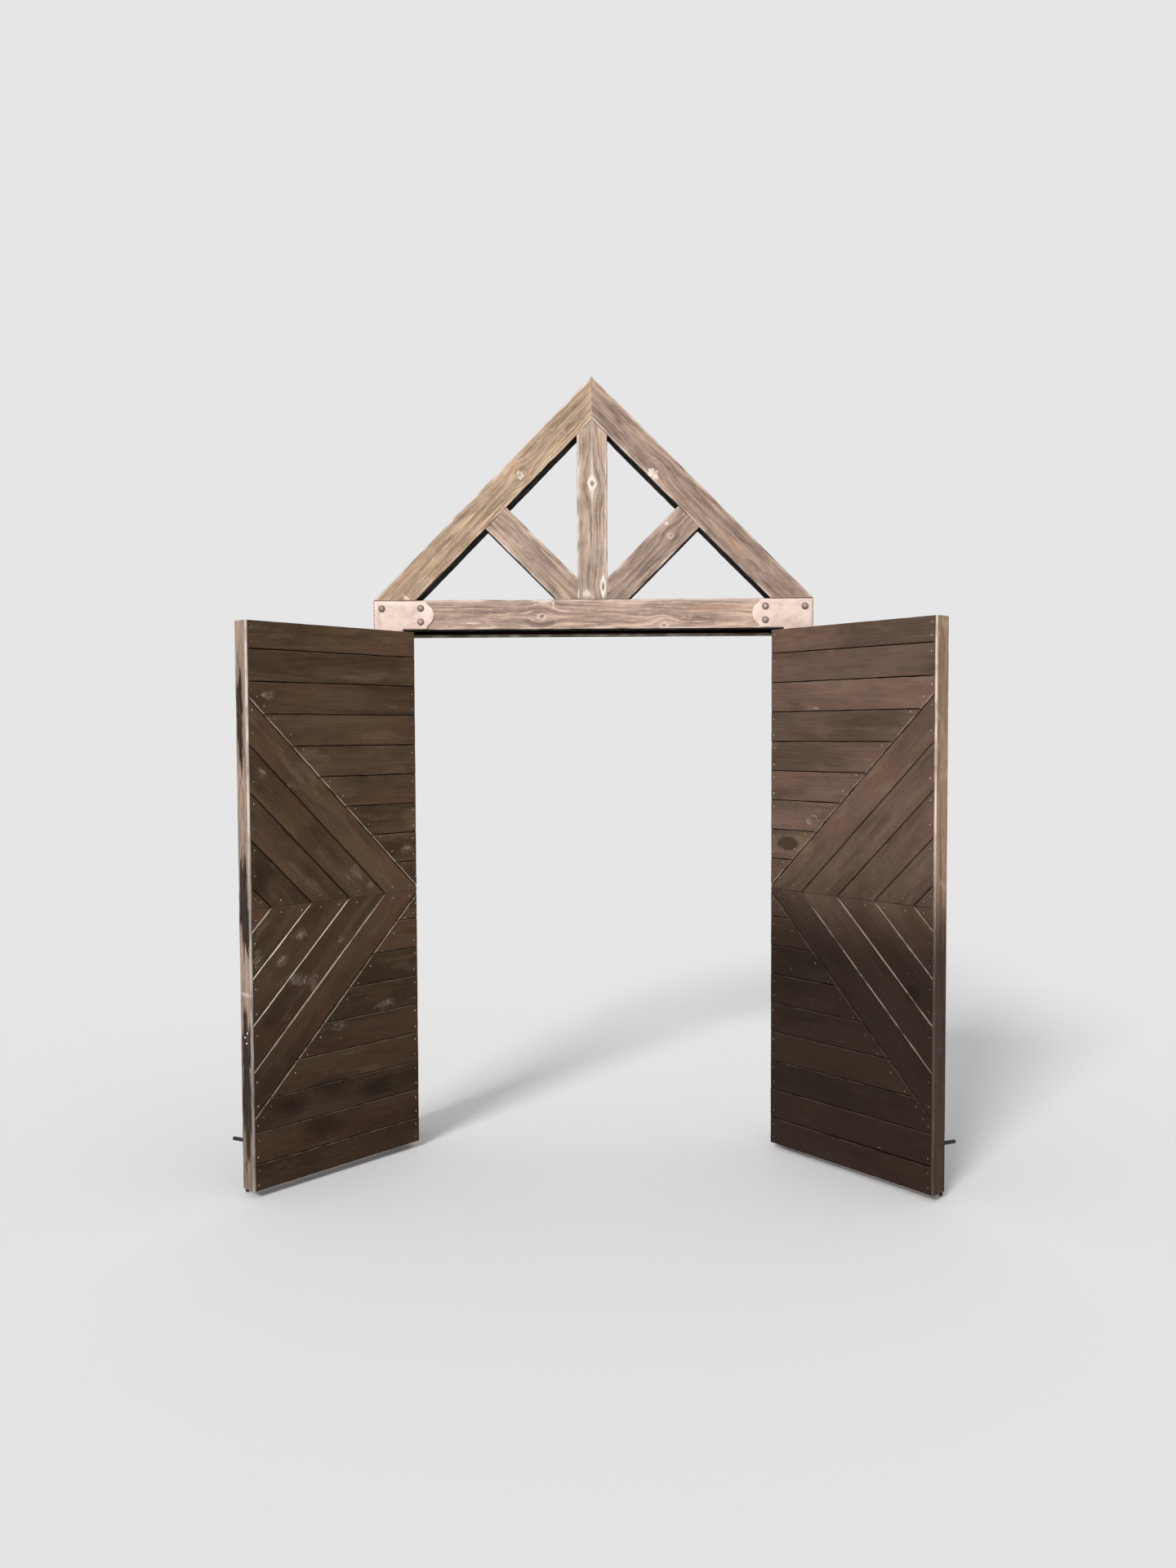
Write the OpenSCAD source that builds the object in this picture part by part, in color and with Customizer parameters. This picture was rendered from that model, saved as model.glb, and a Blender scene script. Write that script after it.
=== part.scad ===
// Timber gateway: two posts, a tie beam, a king post truss over it, and a pair of
// ledged and braced leaves, boarded on the inner face with horizontal and chevron boards.
// The origin is the centre of the left post's foot. +X runs to the right post, +Y runs
// through the gateway towards the side that the boarded faces meet when closed, +Z is up.

/* [Gateway] */
// Side of every square post, beam and truss timber
timber_w = 139.7; // [110:0.1:160]
// Length of the tie beam, flush with the outer sides of both posts
beam_l = 2040; // [1900:5:2400]
// Height of the posts, from the ground to the underside of the beam
post_h = 2407; // [2320:1:2700]
// Eased edge of the posts, beam and truss timbers
timber_ease = 4; // [1:0.5:6]
// Height of the strip under the beam that the closed leaves rest against
stop_h = 26; // [20:1:34]
// Depth of the stop strip, through the gateway
stop_w = 38; // [25:1:45]

/* [Corner plates] */
// Width of each leg of the corner plates, along the middle of the timbers
plate_w = 127; // [120:0.1:130]
// Thickness of the corner plates
plate_t = 6; // [4:0.5:8]
// Length of each leg, from the outer corner to the tip of its nose
plate_l = 275; // [265:1:300]
// Length of each leg up to the shoulders of its ogee end
shoulder_l = 240; // [230:1:250]
// Radius of the rounded nose
nose_r = 53.5; // [45:0.5:60]
// Width of the nose where the coves from the shoulders meet it
nose_w = 80; // [70:1:88]
// Radius of the coves
cove_r = 40; // [30:1:60]
// Radius in the inner corner of the plates
inner_r = 12; // [6:1:20]
// Radius of the bolt shanks
bolt_r = 6.35; // [5:0.05:8]
// Radius of the round bolt heads, at their collar
head_r = 15.5; // [14:0.1:17]
// Distance of the corner bolt from both outer edges of a plate
corner_bolt = 33; // [28:1:44]
// Distance of each pair of bolts from the plate's outer corner
pair_bolt = 215; // [200:1:222]
// Spacing of the bolts in a pair
pair_gap = 63; // [50:1:80]

/* [Leaves] */
// Width of one leaf, with its edge trim
leaf_w = 867; // [800:1:867]
// Height of one leaf
leaf_h = 2361; // [2200:1:2361]
// Clearance between the ground and the leaves
leaf_up = 30; // [20:1:60]
// Angle that the leaves stand open
leaf_open = 132; // [90:1:160]
// Width of the stiles and rails on the face of the leaf
frame_w = 38; // [35:1:45]
// Depth of the stiles and rails behind the boards
frame_d = 63.5; // [50:0.5:70]
// Width of the ledges that carry the hinges
ledge_w = 89; // [70:1:100]
// Width of the braces
brace_w = 89; // [70:1:100]
// Thickness of the braces
brace_t = 38; // [30:1:45]
// Thickness of the trim on the free edge
trim_t = 12; // [10:1:16]

/* [Boards] */
// Thickness of the boards
board_t = 17.5; // [15:0.5:20]
// Width that one horizontal board covers
board_pitch = 133.35; // [120:0.05:140]
// Step of the chevrons along the middle joint
chevron_step = 194.5; // [180:0.5:210]
// Open joint between boards
board_gap = 1.5; // [1:0.1:3]
// Bevel along the edges of the boards
board_bevel = 2.5; // [1:0.5:4]
// Height of the top board of the left leaf
left_top_board = 117; // [100:1:133]
// Height of the top board of the right leaf
right_top_board = 108; // [100:1:133]
// Drop of the middle joint below half height on the left leaf
left_mid_drop = 5; // [0:1:20]
// Drop of the middle joint below half height on the right leaf
right_mid_drop = 0; // [0:1:20]

/* [Hinges] */
// Radius of the hinge pins
pin_r = 8; // [6:0.5:10]
// Outer radius of the hinge knuckles
knuckle_r = 13; // [12:0.5:14]
// Distance of the pins in front of the posts
pin_out = 16; // [16:0.5:20]
// Distance of the pins outside the inner sides of the posts
pin_side = 2.5; // [0:0.5:6]
// Clearance between a closed leaf and its post
hinge_gap = 5; // [5:0.5:6]
// Length of the straps
strap_l = 420; // [300:5:600]
// Width of the straps at the knuckle
strap_w = 44; // [38:1:60]
// Width of the straps at the tip
strap_tip_w = 26; // [20:1:36]
// Thickness of the straps
strap_t = 6; // [5:0.5:8]
// Height of the lower hinges above the bottom of the leaf, and of the upper ones below its top
hinge_in = 221; // [200:1:240]

/* [Drop bolts] */
// Radius of the drop bolts
rod_r = 8; // [6:0.5:9]
// Height of the handles above the ground
handle_z = 218; // [215:1:240]
// Length of a handle from the axis of its rod
handle_l = 70; // [50:1:70]
// Turn of the handles from square to the leaf towards its free edge
handle_turn = 18; // [0:1:18]
// Distance of the drop bolts in front of the outer face of the leaf
rod_out = 20; // [18:0.5:24]

/* [Hidden] */
$fn = 48;

half_w = timber_w / 2;
front_y = -half_w;
back_y = half_w;
centre_x = beam_l / 2 - half_w;
beam_top = post_h + timber_w;
outer_x = -half_w;

// A 45 degree cut across a truss timber is this long
mitre = timber_w * sqrt(2);
// Height of the rafters' inner corner above the beam
inner_apex = beam_l / 2 - mitre;
// The struts' heads stop this far short of the rafters
seat_gap = 0.3;
strut_l = (inner_apex - half_w) / sqrt(2) - seat_gap;
truss_reach = 2 * beam_l;

bolt_clear = 0.25;
head_h = 9;
collar_h = 2.5;
dome_r = 13;
washer_r = 16;
washer_t = 3;
nut_r = 11;
nut_h = 11;
thread_out = 5;

// Leaf coordinates: x from the hinge edge, y from the outer face, z from the bottom
leaf_t = frame_d + board_t;
boards_w = leaf_w - trim_t;
free_stile_x = boards_w - frame_w;
knuckle_x = -pin_side - hinge_gap;
brace_y = frame_d - brace_t;
// The outer chevron lines meet the hinge edge this far from the middle joint
tip_offset = 14;
chevron_boards = 5;
board_rows = 9;
tongue_l = 6;
tongue_t = 6;
groove_clear = 0.5;
groove_l = 7;

stop_clear = 5;
knuckle_h = strap_w;
web_l = 16;
bracket_knuckle_h = 28;
knuckle_gap = 1;
bracket_w = 75;
bracket_h = 118;
pin_clear = 0.3;
pin_head_r = 11;
pin_head_h = 5;
// Clearance cut in the bracket for the strap's knuckle
notch = knuckle_r + 4;

guide_r = 14;
guide_h = 28;
guide_plate_h = 60;
guide_plate_t = 4;
rod_clear = 0.4;
rod_tip_z = 2;
rod_bend_r = 14;
rod_x = free_stile_x + frame_w / 2;
lower_guide_z = 34;
upper_guide_z = handle_z - rod_bend_r - leaf_up - guide_h / 2 - 5;

truss_colour = [0.60, 0.51, 0.46];
leaf_colour = [0.26, 0.20, 0.16];
frame_colour = [0.31, 0.25, 0.20];
trim_colour = [0.47, 0.41, 0.38];
plate_colour = [0.90, 0.82, 0.78];
steel_colour = [0.45, 0.43, 0.42];

function hinge_heights(mid) = [hinge_in, mid, leaf_h - hinge_in];

function bolt_spots() = [
    [corner_bolt, -corner_bolt],
    [pair_bolt, -plate_w / 2 + pair_gap / 2],
    [pair_bolt, -plate_w / 2 - pair_gap / 2],
    [plate_w / 2 - pair_gap / 2, -pair_bolt],
    [plate_w / 2 + pair_gap / 2, -pair_bolt]
];

// Shared shapes

module timber_section(w, d, ease) {
    polygon([
        [-w / 2 + ease, -d / 2], [w / 2 - ease, -d / 2],
        [w / 2, -d / 2 + ease], [w / 2, d / 2 - ease],
        [w / 2 - ease, d / 2], [-w / 2 + ease, d / 2],
        [-w / 2, d / 2 - ease], [-w / 2, -d / 2 + ease]
    ]);
}

module timber(length, centred = false) {
    linear_extrude(height = length, center = centred) {
        timber_section(timber_w, timber_w, timber_ease);
    }
}

// Mirrors its children to the right half of the gateway
module right_side() {
    translate([2 * centre_x, 0, 0]) mirror([1, 0, 0]) children();
}

// Carries its children from the plate's outer top corner, in x and z, to the left corner
module at_left_corner() {
    margin = (timber_w - plate_w) / 2;
    translate([outer_x + margin, 0, beam_top - margin]) children();
}

module plate_bores() {
    for (spot = bolt_spots()) {
        translate([spot[0], 0, spot[1]]) rotate([90, 0, 0]) {
            cylinder(h = 2 * timber_w, r = bolt_r + bolt_clear, center = true);
        }
    }
}

// Posts, beam and truss

module left_post_form() {
    color(truss_colour) difference() {
        timber(post_h);
        at_left_corner() plate_bores();
    }
}

module left_post() {
    left_post_form();
}

module right_post() {
    right_side() left_post_form();
}

module tie_beam() {
    color(truss_colour) difference() {
        translate([outer_x, 0, post_h + half_w]) rotate([0, 90, 0]) timber(beam_l);
        at_left_corner() plate_bores();
        right_side() at_left_corner() plate_bores();
    }
}

module stop_strip() {
    color(truss_colour) {
        translate([half_w, front_y + leaf_t + stop_clear, post_h - stop_h]) {
            cube([beam_l - 2 * timber_w, stop_w, stop_h]);
        }
    }
}

// Everything above the beam and left of the limit, which cuts feet and mitres
module truss_bay(limit_x) {
    translate([limit_x - truss_reach, -timber_w, beam_top]) {
        cube([truss_reach, 2 * timber_w, truss_reach]);
    }
}

module left_rafter_form() {
    color(truss_colour) intersection() {
        translate([outer_x + mitre / 2, 0, beam_top]) rotate([0, 45, 0]) {
            timber(truss_reach, true);
        }
        truss_bay(centre_x);
    }
}

module left_rafter() {
    left_rafter_form();
}

module right_rafter() {
    right_side() left_rafter_form();
}

module king_post() {
    color(truss_colour) intersection() {
        translate([centre_x, 0, beam_top]) timber(inner_apex);
        translate([centre_x, timber_w, beam_top]) rotate([90, 0, 0]) {
            linear_extrude(height = 2 * timber_w) {
                polygon([[-inner_apex, 0], [inner_apex, 0], [0, inner_apex]]);
            }
        }
    }
}

module left_strut_form() {
    color(truss_colour) intersection() {
        translate([centre_x - half_w, 0, beam_top]) rotate([0, -45, 0]) {
            translate([0, 0, strut_l - truss_reach]) timber(truss_reach);
        }
        truss_bay(centre_x - half_w);
    }
}

module left_strut() {
    left_strut_form();
}

module right_strut() {
    right_side() left_strut_form();
}

// Corner plates and their bolts

// One leg of a corner plate, along x from the outer corner, with its ogee end
module plate_leg() {
    nose_x = plate_l - nose_r + sqrt(nose_r * nose_r - nose_w * nose_w / 4);
    shoulder = [shoulder_l, plate_w / 2];
    flank = [nose_x, nose_w / 2] - shoulder;
    normal = [-flank[1], flank[0]] / norm(flank);
    cove = shoulder + flank / 2 + normal * sqrt(cove_r * cove_r - flank * flank / 4);
    translate([0, -plate_w / 2]) {
        difference() {
            polygon([
                [0, -plate_w / 2], [shoulder_l, -plate_w / 2], [nose_x, -nose_w / 2],
                [nose_x, nose_w / 2], [shoulder_l, plate_w / 2], [0, plate_w / 2]
            ]);
            for (side = [-1, 1]) translate([cove[0], side * cove[1]]) circle(r = cove_r);
        }
        translate([plate_l - nose_r, 0]) circle(r = nose_r);
    }
}

module inner_fillet() {
    difference() {
        translate([plate_w / 2, -plate_w - inner_r]) square(plate_w / 2 + inner_r);
        translate([plate_w + inner_r, -plate_w - inner_r]) circle(r = inner_r);
    }
}

module corner_plate() {
    difference() {
        rotate([90, 0, 0]) linear_extrude(height = plate_t) {
            plate_leg();
            mirror([1, 1]) plate_leg();
            inner_fillet();
        }
        plate_bores();
    }
}

module left_front_plate() {
    color(plate_colour) translate([0, front_y, 0]) at_left_corner() corner_plate();
}

module right_front_plate() {
    right_side() left_front_plate();
}

module left_back_plate() {
    color(plate_colour) {
        translate([0, back_y + plate_t, 0]) at_left_corner() corner_plate();
    }
}

module right_back_plate() {
    right_side() left_back_plate();
}

// A round head: a thin collar under a domed cap
module round_head() {
    rise = head_h - collar_h;
    cap_r = (dome_r * dome_r + rise * rise) / (2 * rise);
    cylinder(h = collar_h, r = head_r);
    intersection() {
        translate([0, 0, head_h - cap_r]) sphere(r = cap_r);
        cylinder(h = head_h, r = dome_r);
    }
}

// Bolt along y, with its head in front of the front plate and its nut behind the back one
module plate_bolt() {
    grip = timber_w + 2 * plate_t;
    rotate([90, 0, 0]) {
        translate([0, 0, grip / 2]) round_head();
        translate([0, 0, -grip / 2 - washer_t - nut_h - thread_out]) {
            cylinder(h = grip + washer_t + nut_h + thread_out, r = bolt_r);
        }
        translate([0, 0, -grip / 2 - washer_t]) cylinder(h = washer_t, r = washer_r);
        translate([0, 0, -grip / 2 - washer_t - nut_h]) {
            cylinder(h = nut_h, r = nut_r, $fn = 6);
        }
    }
}

module left_plate_bolts() {
    color(steel_colour) at_left_corner() {
        for (spot = bolt_spots()) translate([spot[0], 0, spot[1]]) plate_bolt();
    }
}

module right_plate_bolts() {
    right_side() left_plate_bolts();
}

// Post side of the hinges: a plate with two knuckles and the pin

module hinge_bracket() {
    difference() {
        union() {
            translate([pin_side - bracket_w, pin_out - strap_t, -bracket_h / 2]) {
                cube([bracket_w, strap_t, bracket_h]);
            }
            for (up = [0, 1]) mirror([0, 0, up]) {
                translate([0, 0, knuckle_h / 2 + knuckle_gap]) {
                    cylinder(h = bracket_knuckle_h, r = knuckle_r);
                }
            }
        }
        translate([-notch, 0, -knuckle_h / 2 - knuckle_gap]) {
            cube([2 * notch, 2 * pin_out, knuckle_h + 2 * knuckle_gap]);
        }
    }
    translate([0, 0, -knuckle_h / 2 - knuckle_gap - bracket_knuckle_h]) {
        cylinder(h = knuckle_h + 2 * (knuckle_gap + bracket_knuckle_h), r = pin_r);
    }
    translate([0, 0, knuckle_h / 2 + knuckle_gap + bracket_knuckle_h]) {
        cylinder(h = pin_head_h, r = pin_head_r);
    }
}

module hinge_axis() {
    translate([half_w - pin_side, front_y - pin_out, leaf_up]) children();
}

module hinge_brackets(mid) {
    color(steel_colour) hinge_axis() {
        for (z = hinge_heights(mid)) translate([0, 0, z]) hinge_bracket();
    }
}

module left_hinge_brackets() {
    hinge_brackets(leaf_h / 2 - left_mid_drop);
}

module right_hinge_brackets() {
    right_side() hinge_brackets(leaf_h / 2 - right_mid_drop);
}

// Leaves

// Hangs its children, drawn in leaf coordinates, on the left pins at the open angle
module hang() {
    hinge_axis() rotate([0, 0, -leaf_open]) translate([-knuckle_x, pin_out, 0]) children();
}

module hinge_stile() {
    cube([frame_w, frame_d, leaf_h]);
}

module free_stile() {
    translate([free_stile_x, 0, 0]) cube([frame_w, frame_d, leaf_h]);
}

module rail(z, height) {
    translate([frame_w, 0, z]) cube([free_stile_x - frame_w, frame_d, height]);
}

module ledges(mid) {
    for (z = hinge_heights(mid)) rail(z - ledge_w / 2, ledge_w);
}

// A 45 degree brace from the middle ledge to the free stile, above the middle joint
module brace(mid) {
    reach = brace_w / sqrt(2);
    intersection() {
        translate([0, frame_d, mid]) rotate([90, 0, 0]) linear_extrude(height = brace_t) {
            polygon([
                [0, tip_offset - reach], [boards_w, boards_w + tip_offset - reach],
                [boards_w, boards_w + tip_offset + reach], [0, tip_offset + reach]
            ]);
        }
        translate([frame_w, 0, mid + ledge_w / 2]) {
            cube([free_stile_x - frame_w, frame_d, leaf_h]);
        }
    }
}

module below(mid) {
    translate([0, 0, 2 * mid]) mirror([0, 0, 1]) children();
}

module braces(mid) {
    brace(mid);
    below(mid) brace(mid);
}

// Tongued and grooved board along x, with its tongue up and its bevelled face towards +y
module board(length, pitch) {
    top = board_gap / 2;
    bottom = pitch - board_gap / 2;
    mid_t = board_t / 2;
    rotate([0, 90, 0]) linear_extrude(height = length) {
        polygon([
            [top, 0], [bottom, 0],
            [bottom, mid_t - tongue_t / 2 - groove_clear],
            [bottom - groove_l, mid_t - tongue_t / 2 - groove_clear],
            [bottom - groove_l, mid_t + tongue_t / 2 + groove_clear],
            [bottom, mid_t + tongue_t / 2 + groove_clear],
            [bottom, board_t - board_bevel], [bottom - board_bevel, board_t],
            [top + board_bevel, board_t], [top, board_t - board_bevel],
            [top, mid_t + tongue_t / 2], [top - tongue_l, mid_t + tongue_t / 2],
            [top - tongue_l, mid_t - tongue_t / 2], [top, mid_t - tongue_t / 2]
        ]);
    }
}

// Outline in x and z, as a block through the whole thickness of the boards
module board_field(points) {
    translate([0, leaf_t + board_t, 0]) rotate([90, 0, 0]) {
        linear_extrude(height = 3 * board_t) polygon(points);
    }
}

// Rows of horizontal boards, from row first to row last, numbered from the top
module board_rows(top_board, first, last) {
    for (row = [first:last]) {
        translate([0, frame_d, leaf_h - top_board + board_pitch * (1 - row)]) {
            board(boards_w, board_pitch);
        }
    }
}

module upper_boards(top_board, mid) {
    edge = tip_offset + board_gap / sqrt(2);
    intersection() {
        board_rows(top_board, 0, board_rows - 1);
        board_field([
            [0, mid + edge], [boards_w, mid + boards_w + edge],
            [boards_w, leaf_h], [0, leaf_h]
        ]);
    }
}

module lower_boards(top_board, mid) {
    edge = tip_offset + board_gap / sqrt(2);
    intersection() {
        board_rows(top_board, board_rows, 2 * board_rows - 1);
        board_field([
            [0, mid - edge], [boards_w, mid - boards_w - edge],
            [boards_w, 0], [0, 0]
        ]);
    }
}

// Upper half of the chevrons, whose boards rise at 45 degrees from the middle joint
module chevron_half(mid) {
    pitch = chevron_step / sqrt(2);
    edge = tip_offset - board_gap / sqrt(2);
    intersection() {
        for (step = [0:chevron_boards - 1]) {
            translate([0, frame_d, mid + tip_offset - step * chevron_step]) {
                rotate([0, -45, 0]) board(2 * boards_w, pitch);
            }
        }
        board_field([
            [0, mid + board_gap / 2], [boards_w, mid + board_gap / 2],
            [boards_w, mid + boards_w + edge], [0, mid + edge]
        ]);
    }
}

module chevron_boards(mid) {
    chevron_half(mid);
    below(mid) chevron_half(mid);
}

module edge_trim() {
    translate([boards_w, 0, 0]) cube([trim_t, leaf_t, leaf_h]);
}

// Strap along x from the edge of the leaf, tapered to a point, with a cranked web to its knuckle
module strap_hinge() {
    difference() {
        union() {
            rotate([90, 0, 0]) linear_extrude(height = strap_t) {
                polygon([
                    [web_l, -strap_w / 2], [strap_l - strap_tip_w, -strap_tip_w / 2],
                    [strap_l, 0], [strap_l - strap_tip_w, strap_tip_w / 2],
                    [web_l, strap_w / 2]
                ]);
            }
            translate([0, 0, -strap_w / 2]) linear_extrude(height = strap_w) {
                polygon([
                    [knuckle_x / 2, -pin_out], [knuckle_x / 2, -strap_t], [0, 0],
                    [web_l, 0], [web_l, -strap_t], [web_l / 3, -pin_out]
                ]);
            }
            translate([knuckle_x, -pin_out, -knuckle_h / 2]) {
                cylinder(h = knuckle_h, r = knuckle_r);
            }
        }
        translate([knuckle_x, -pin_out, -knuckle_h]) {
            cylinder(h = 2 * knuckle_h, r = pin_r + pin_clear);
        }
    }
}

module strap_hinges(mid) {
    for (z = hinge_heights(mid)) translate([0, 0, z]) strap_hinge();
}

// Guide of the drop bolt, on the outer face of the free stile
module bolt_guide() {
    difference() {
        union() {
            translate([-frame_w / 2, -guide_plate_t, -guide_plate_h / 2]) {
                cube([frame_w, guide_plate_t, guide_plate_h]);
            }
            translate([-guide_r, -rod_out, -guide_h / 2]) {
                cube([2 * guide_r, rod_out, guide_h]);
            }
            translate([0, -rod_out, 0]) cylinder(h = guide_h, r = guide_r, center = true);
        }
        translate([0, -rod_out, 0]) {
            cylinder(h = 2 * guide_h, r = rod_r + rod_clear, center = true);
        }
    }
}

module bolt_guides() {
    for (z = [lower_guide_z, upper_guide_z]) translate([rod_x, 0, z]) bolt_guide();
}

// Rod that drops to the ground, bent at the top into a handle
module drop_bolt() {
    bend_z = handle_z - rod_bend_r - leaf_up;
    translate([rod_x, -rod_out, 0]) rotate([0, 0, handle_turn]) {
        translate([0, 0, rod_tip_z - leaf_up]) {
            cylinder(h = bend_z - rod_tip_z + leaf_up, r = rod_r);
        }
        translate([0, -rod_bend_r, bend_z]) rotate([90, 0, 90]) {
            rotate_extrude(angle = 90) translate([rod_bend_r, 0]) circle(r = rod_r);
        }
        translate([0, -rod_bend_r, bend_z + rod_bend_r]) rotate([90, 0, 0]) {
            cylinder(h = handle_l - rod_bend_r, r = rod_r);
        }
    }
}

left_mid = leaf_h / 2 - left_mid_drop;
right_mid = leaf_h / 2 - right_mid_drop;

module left_hinge_stile() { color(frame_colour) hang() hinge_stile(); }
module left_free_stile() { color(frame_colour) hang() free_stile(); }
module left_top_rail() { color(frame_colour) hang() rail(leaf_h - frame_w, frame_w); }
module left_bottom_rail() { color(frame_colour) hang() rail(0, frame_w); }
module left_ledges() { color(frame_colour) hang() ledges(left_mid); }
module left_braces() { color(frame_colour) hang() braces(left_mid); }
module left_upper_boards() { color(leaf_colour) hang() upper_boards(left_top_board, left_mid); }
module left_chevron_boards() { color(leaf_colour) hang() chevron_boards(left_mid); }
module left_lower_boards() { color(leaf_colour) hang() lower_boards(left_top_board, left_mid); }
module left_edge_trim() { color(trim_colour) hang() edge_trim(); }
module left_strap_hinges() { color(steel_colour) hang() strap_hinges(left_mid); }
module left_bolt_guides() { color(steel_colour) hang() bolt_guides(); }
module left_drop_bolt() { color(steel_colour) hang() drop_bolt(); }

module right_hang() {
    right_side() hang() children();
}

module right_hinge_stile() { color(frame_colour) right_hang() hinge_stile(); }
module right_free_stile() { color(frame_colour) right_hang() free_stile(); }
module right_top_rail() { color(frame_colour) right_hang() rail(leaf_h - frame_w, frame_w); }
module right_bottom_rail() { color(frame_colour) right_hang() rail(0, frame_w); }
module right_ledges() { color(frame_colour) right_hang() ledges(right_mid); }
module right_braces() { color(frame_colour) right_hang() braces(right_mid); }
module right_upper_boards() {
    color(leaf_colour) right_hang() upper_boards(right_top_board, right_mid);
}
module right_chevron_boards() { color(leaf_colour) right_hang() chevron_boards(right_mid); }
module right_lower_boards() {
    color(leaf_colour) right_hang() lower_boards(right_top_board, right_mid);
}
module right_edge_trim() { color(trim_colour) right_hang() edge_trim(); }
module right_strap_hinges() { color(steel_colour) right_hang() strap_hinges(right_mid); }
module right_bolt_guides() { color(steel_colour) right_hang() bolt_guides(); }
module right_drop_bolt() { color(steel_colour) right_hang() drop_bolt(); }

left_post();
right_post();
tie_beam();
stop_strip();
left_rafter();
right_rafter();
king_post();
left_strut();
right_strut();
left_front_plate();
right_front_plate();
left_back_plate();
right_back_plate();
left_plate_bolts();
right_plate_bolts();
left_hinge_brackets();
right_hinge_brackets();
left_hinge_stile();
left_free_stile();
left_top_rail();
left_bottom_rail();
left_ledges();
left_braces();
left_upper_boards();
left_chevron_boards();
left_lower_boards();
left_edge_trim();
left_strap_hinges();
left_bolt_guides();
right_hinge_stile();
right_free_stile();
right_top_rail();
right_bottom_rail();
right_ledges();
right_braces();
right_upper_boards();
right_chevron_boards();
right_lower_boards();
right_edge_trim();
right_strap_hinges();
right_bolt_guides();
left_drop_bolt();
right_drop_bolt();
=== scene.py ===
import math
import random

import bmesh
import bpy
from mathutils import Matrix, Vector, noise
from mathutils.geometry import intersect_point_line


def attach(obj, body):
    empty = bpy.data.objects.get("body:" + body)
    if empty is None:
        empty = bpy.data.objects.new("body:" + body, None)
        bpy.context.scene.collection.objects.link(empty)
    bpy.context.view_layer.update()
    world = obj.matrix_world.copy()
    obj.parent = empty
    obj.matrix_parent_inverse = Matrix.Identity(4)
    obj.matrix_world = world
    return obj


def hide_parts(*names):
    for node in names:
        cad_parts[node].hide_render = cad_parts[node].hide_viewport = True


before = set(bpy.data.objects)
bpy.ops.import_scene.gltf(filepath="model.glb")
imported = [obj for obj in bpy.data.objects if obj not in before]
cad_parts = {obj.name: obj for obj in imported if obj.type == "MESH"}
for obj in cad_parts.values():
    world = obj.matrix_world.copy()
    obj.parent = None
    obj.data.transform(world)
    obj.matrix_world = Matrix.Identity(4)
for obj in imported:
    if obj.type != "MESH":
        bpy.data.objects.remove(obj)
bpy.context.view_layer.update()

# Sizes of the frame and the leaves, in metres, as in the part's source
TIMBER = 0.1397
HALF = TIMBER / 2
BEAM_L = 2.04
POST_H = 2.407
CENTRE = BEAM_L / 2 - HALF
LEAF_W, LEAF_H, LEAF_UP = 0.867, 2.361, 0.03
TRIM_T, FRAME_D, BOARD_T = 0.012, 0.0635, 0.0175
LEAF_T = FRAME_D + BOARD_T
BOARDS_W = LEAF_W - TRIM_T
OPEN = math.radians(132)
PIN_OUT, PIN_SIDE, HINGE_GAP = 0.016, 0.0025, 0.005
BOLT_HEAD = 0.0155

# Boards: rows over and under a chevron's middle, and boards in each of its halves
ROWS, CHEVRON_BOARDS = 9, 5
# Height of a row and of a top row, and height that a chevron board takes on a leaf's side
PITCH = 0.13335
TOP_BOARD = {"left": 0.117, "right": 0.108}
STEP = 0.1945
# The middle joint's height, and how far over and under it the chevron's outer edges meet the hinge side
MID = {"left": LEAF_H / 2 - 0.005, "right": LEAF_H / 2}
TIP = 0.014
# Gaps at a joint, at the middle joint, and at the end of the right leaf's lowest joint, which has opened
GAP, MITRE_GAP, OPENED = 0.0015, 0.0004, 0.004
# Tongues: how far they start inside a board, how far they pass its edge, and their levels over the frame
TONGUE_IN, TONGUE_OUT, TONGUE_LEVELS = 0.002, 0.006, (0.006, 0.012)
ROOT_2 = math.sqrt(2)

# The photograph's camera: its place, its yaw, pitch and roll in degrees, and its lens in millimetres
CAMERA_AT = (1.06494, -5.60862, 1.91526)
CAMERA_TURN = (1.4348, 2.3428, -0.2391)
SENSOR, LENS = 36, 27.2908

# Light: the sky's strength, the sun's direction, strength and width, the floor's brightness and half size
SKY = 0.55
SUN_FROM = Vector((-0.38, -0.72, 0.58)).normalized()
SUN, SUN_WIDTH = 0.6, math.radians(16)
FLOOR, FLOOR_HALF = 0.88, 130
PALE_BACK = FLOOR * (SKY + SUN * SUN_FROM.z)
WHITE = (255, 255, 255)


def srgb(r, g, b):
    """A colour given as it looks, from 0 to 255, as the shader takes it."""
    shares = (v / 255 for v in (r, g, b))
    return (*(v / 12.92 if v <= 0.0404 else ((v + 0.055) / 1.055) ** 2.4 for v in shares), 1.0)


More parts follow.
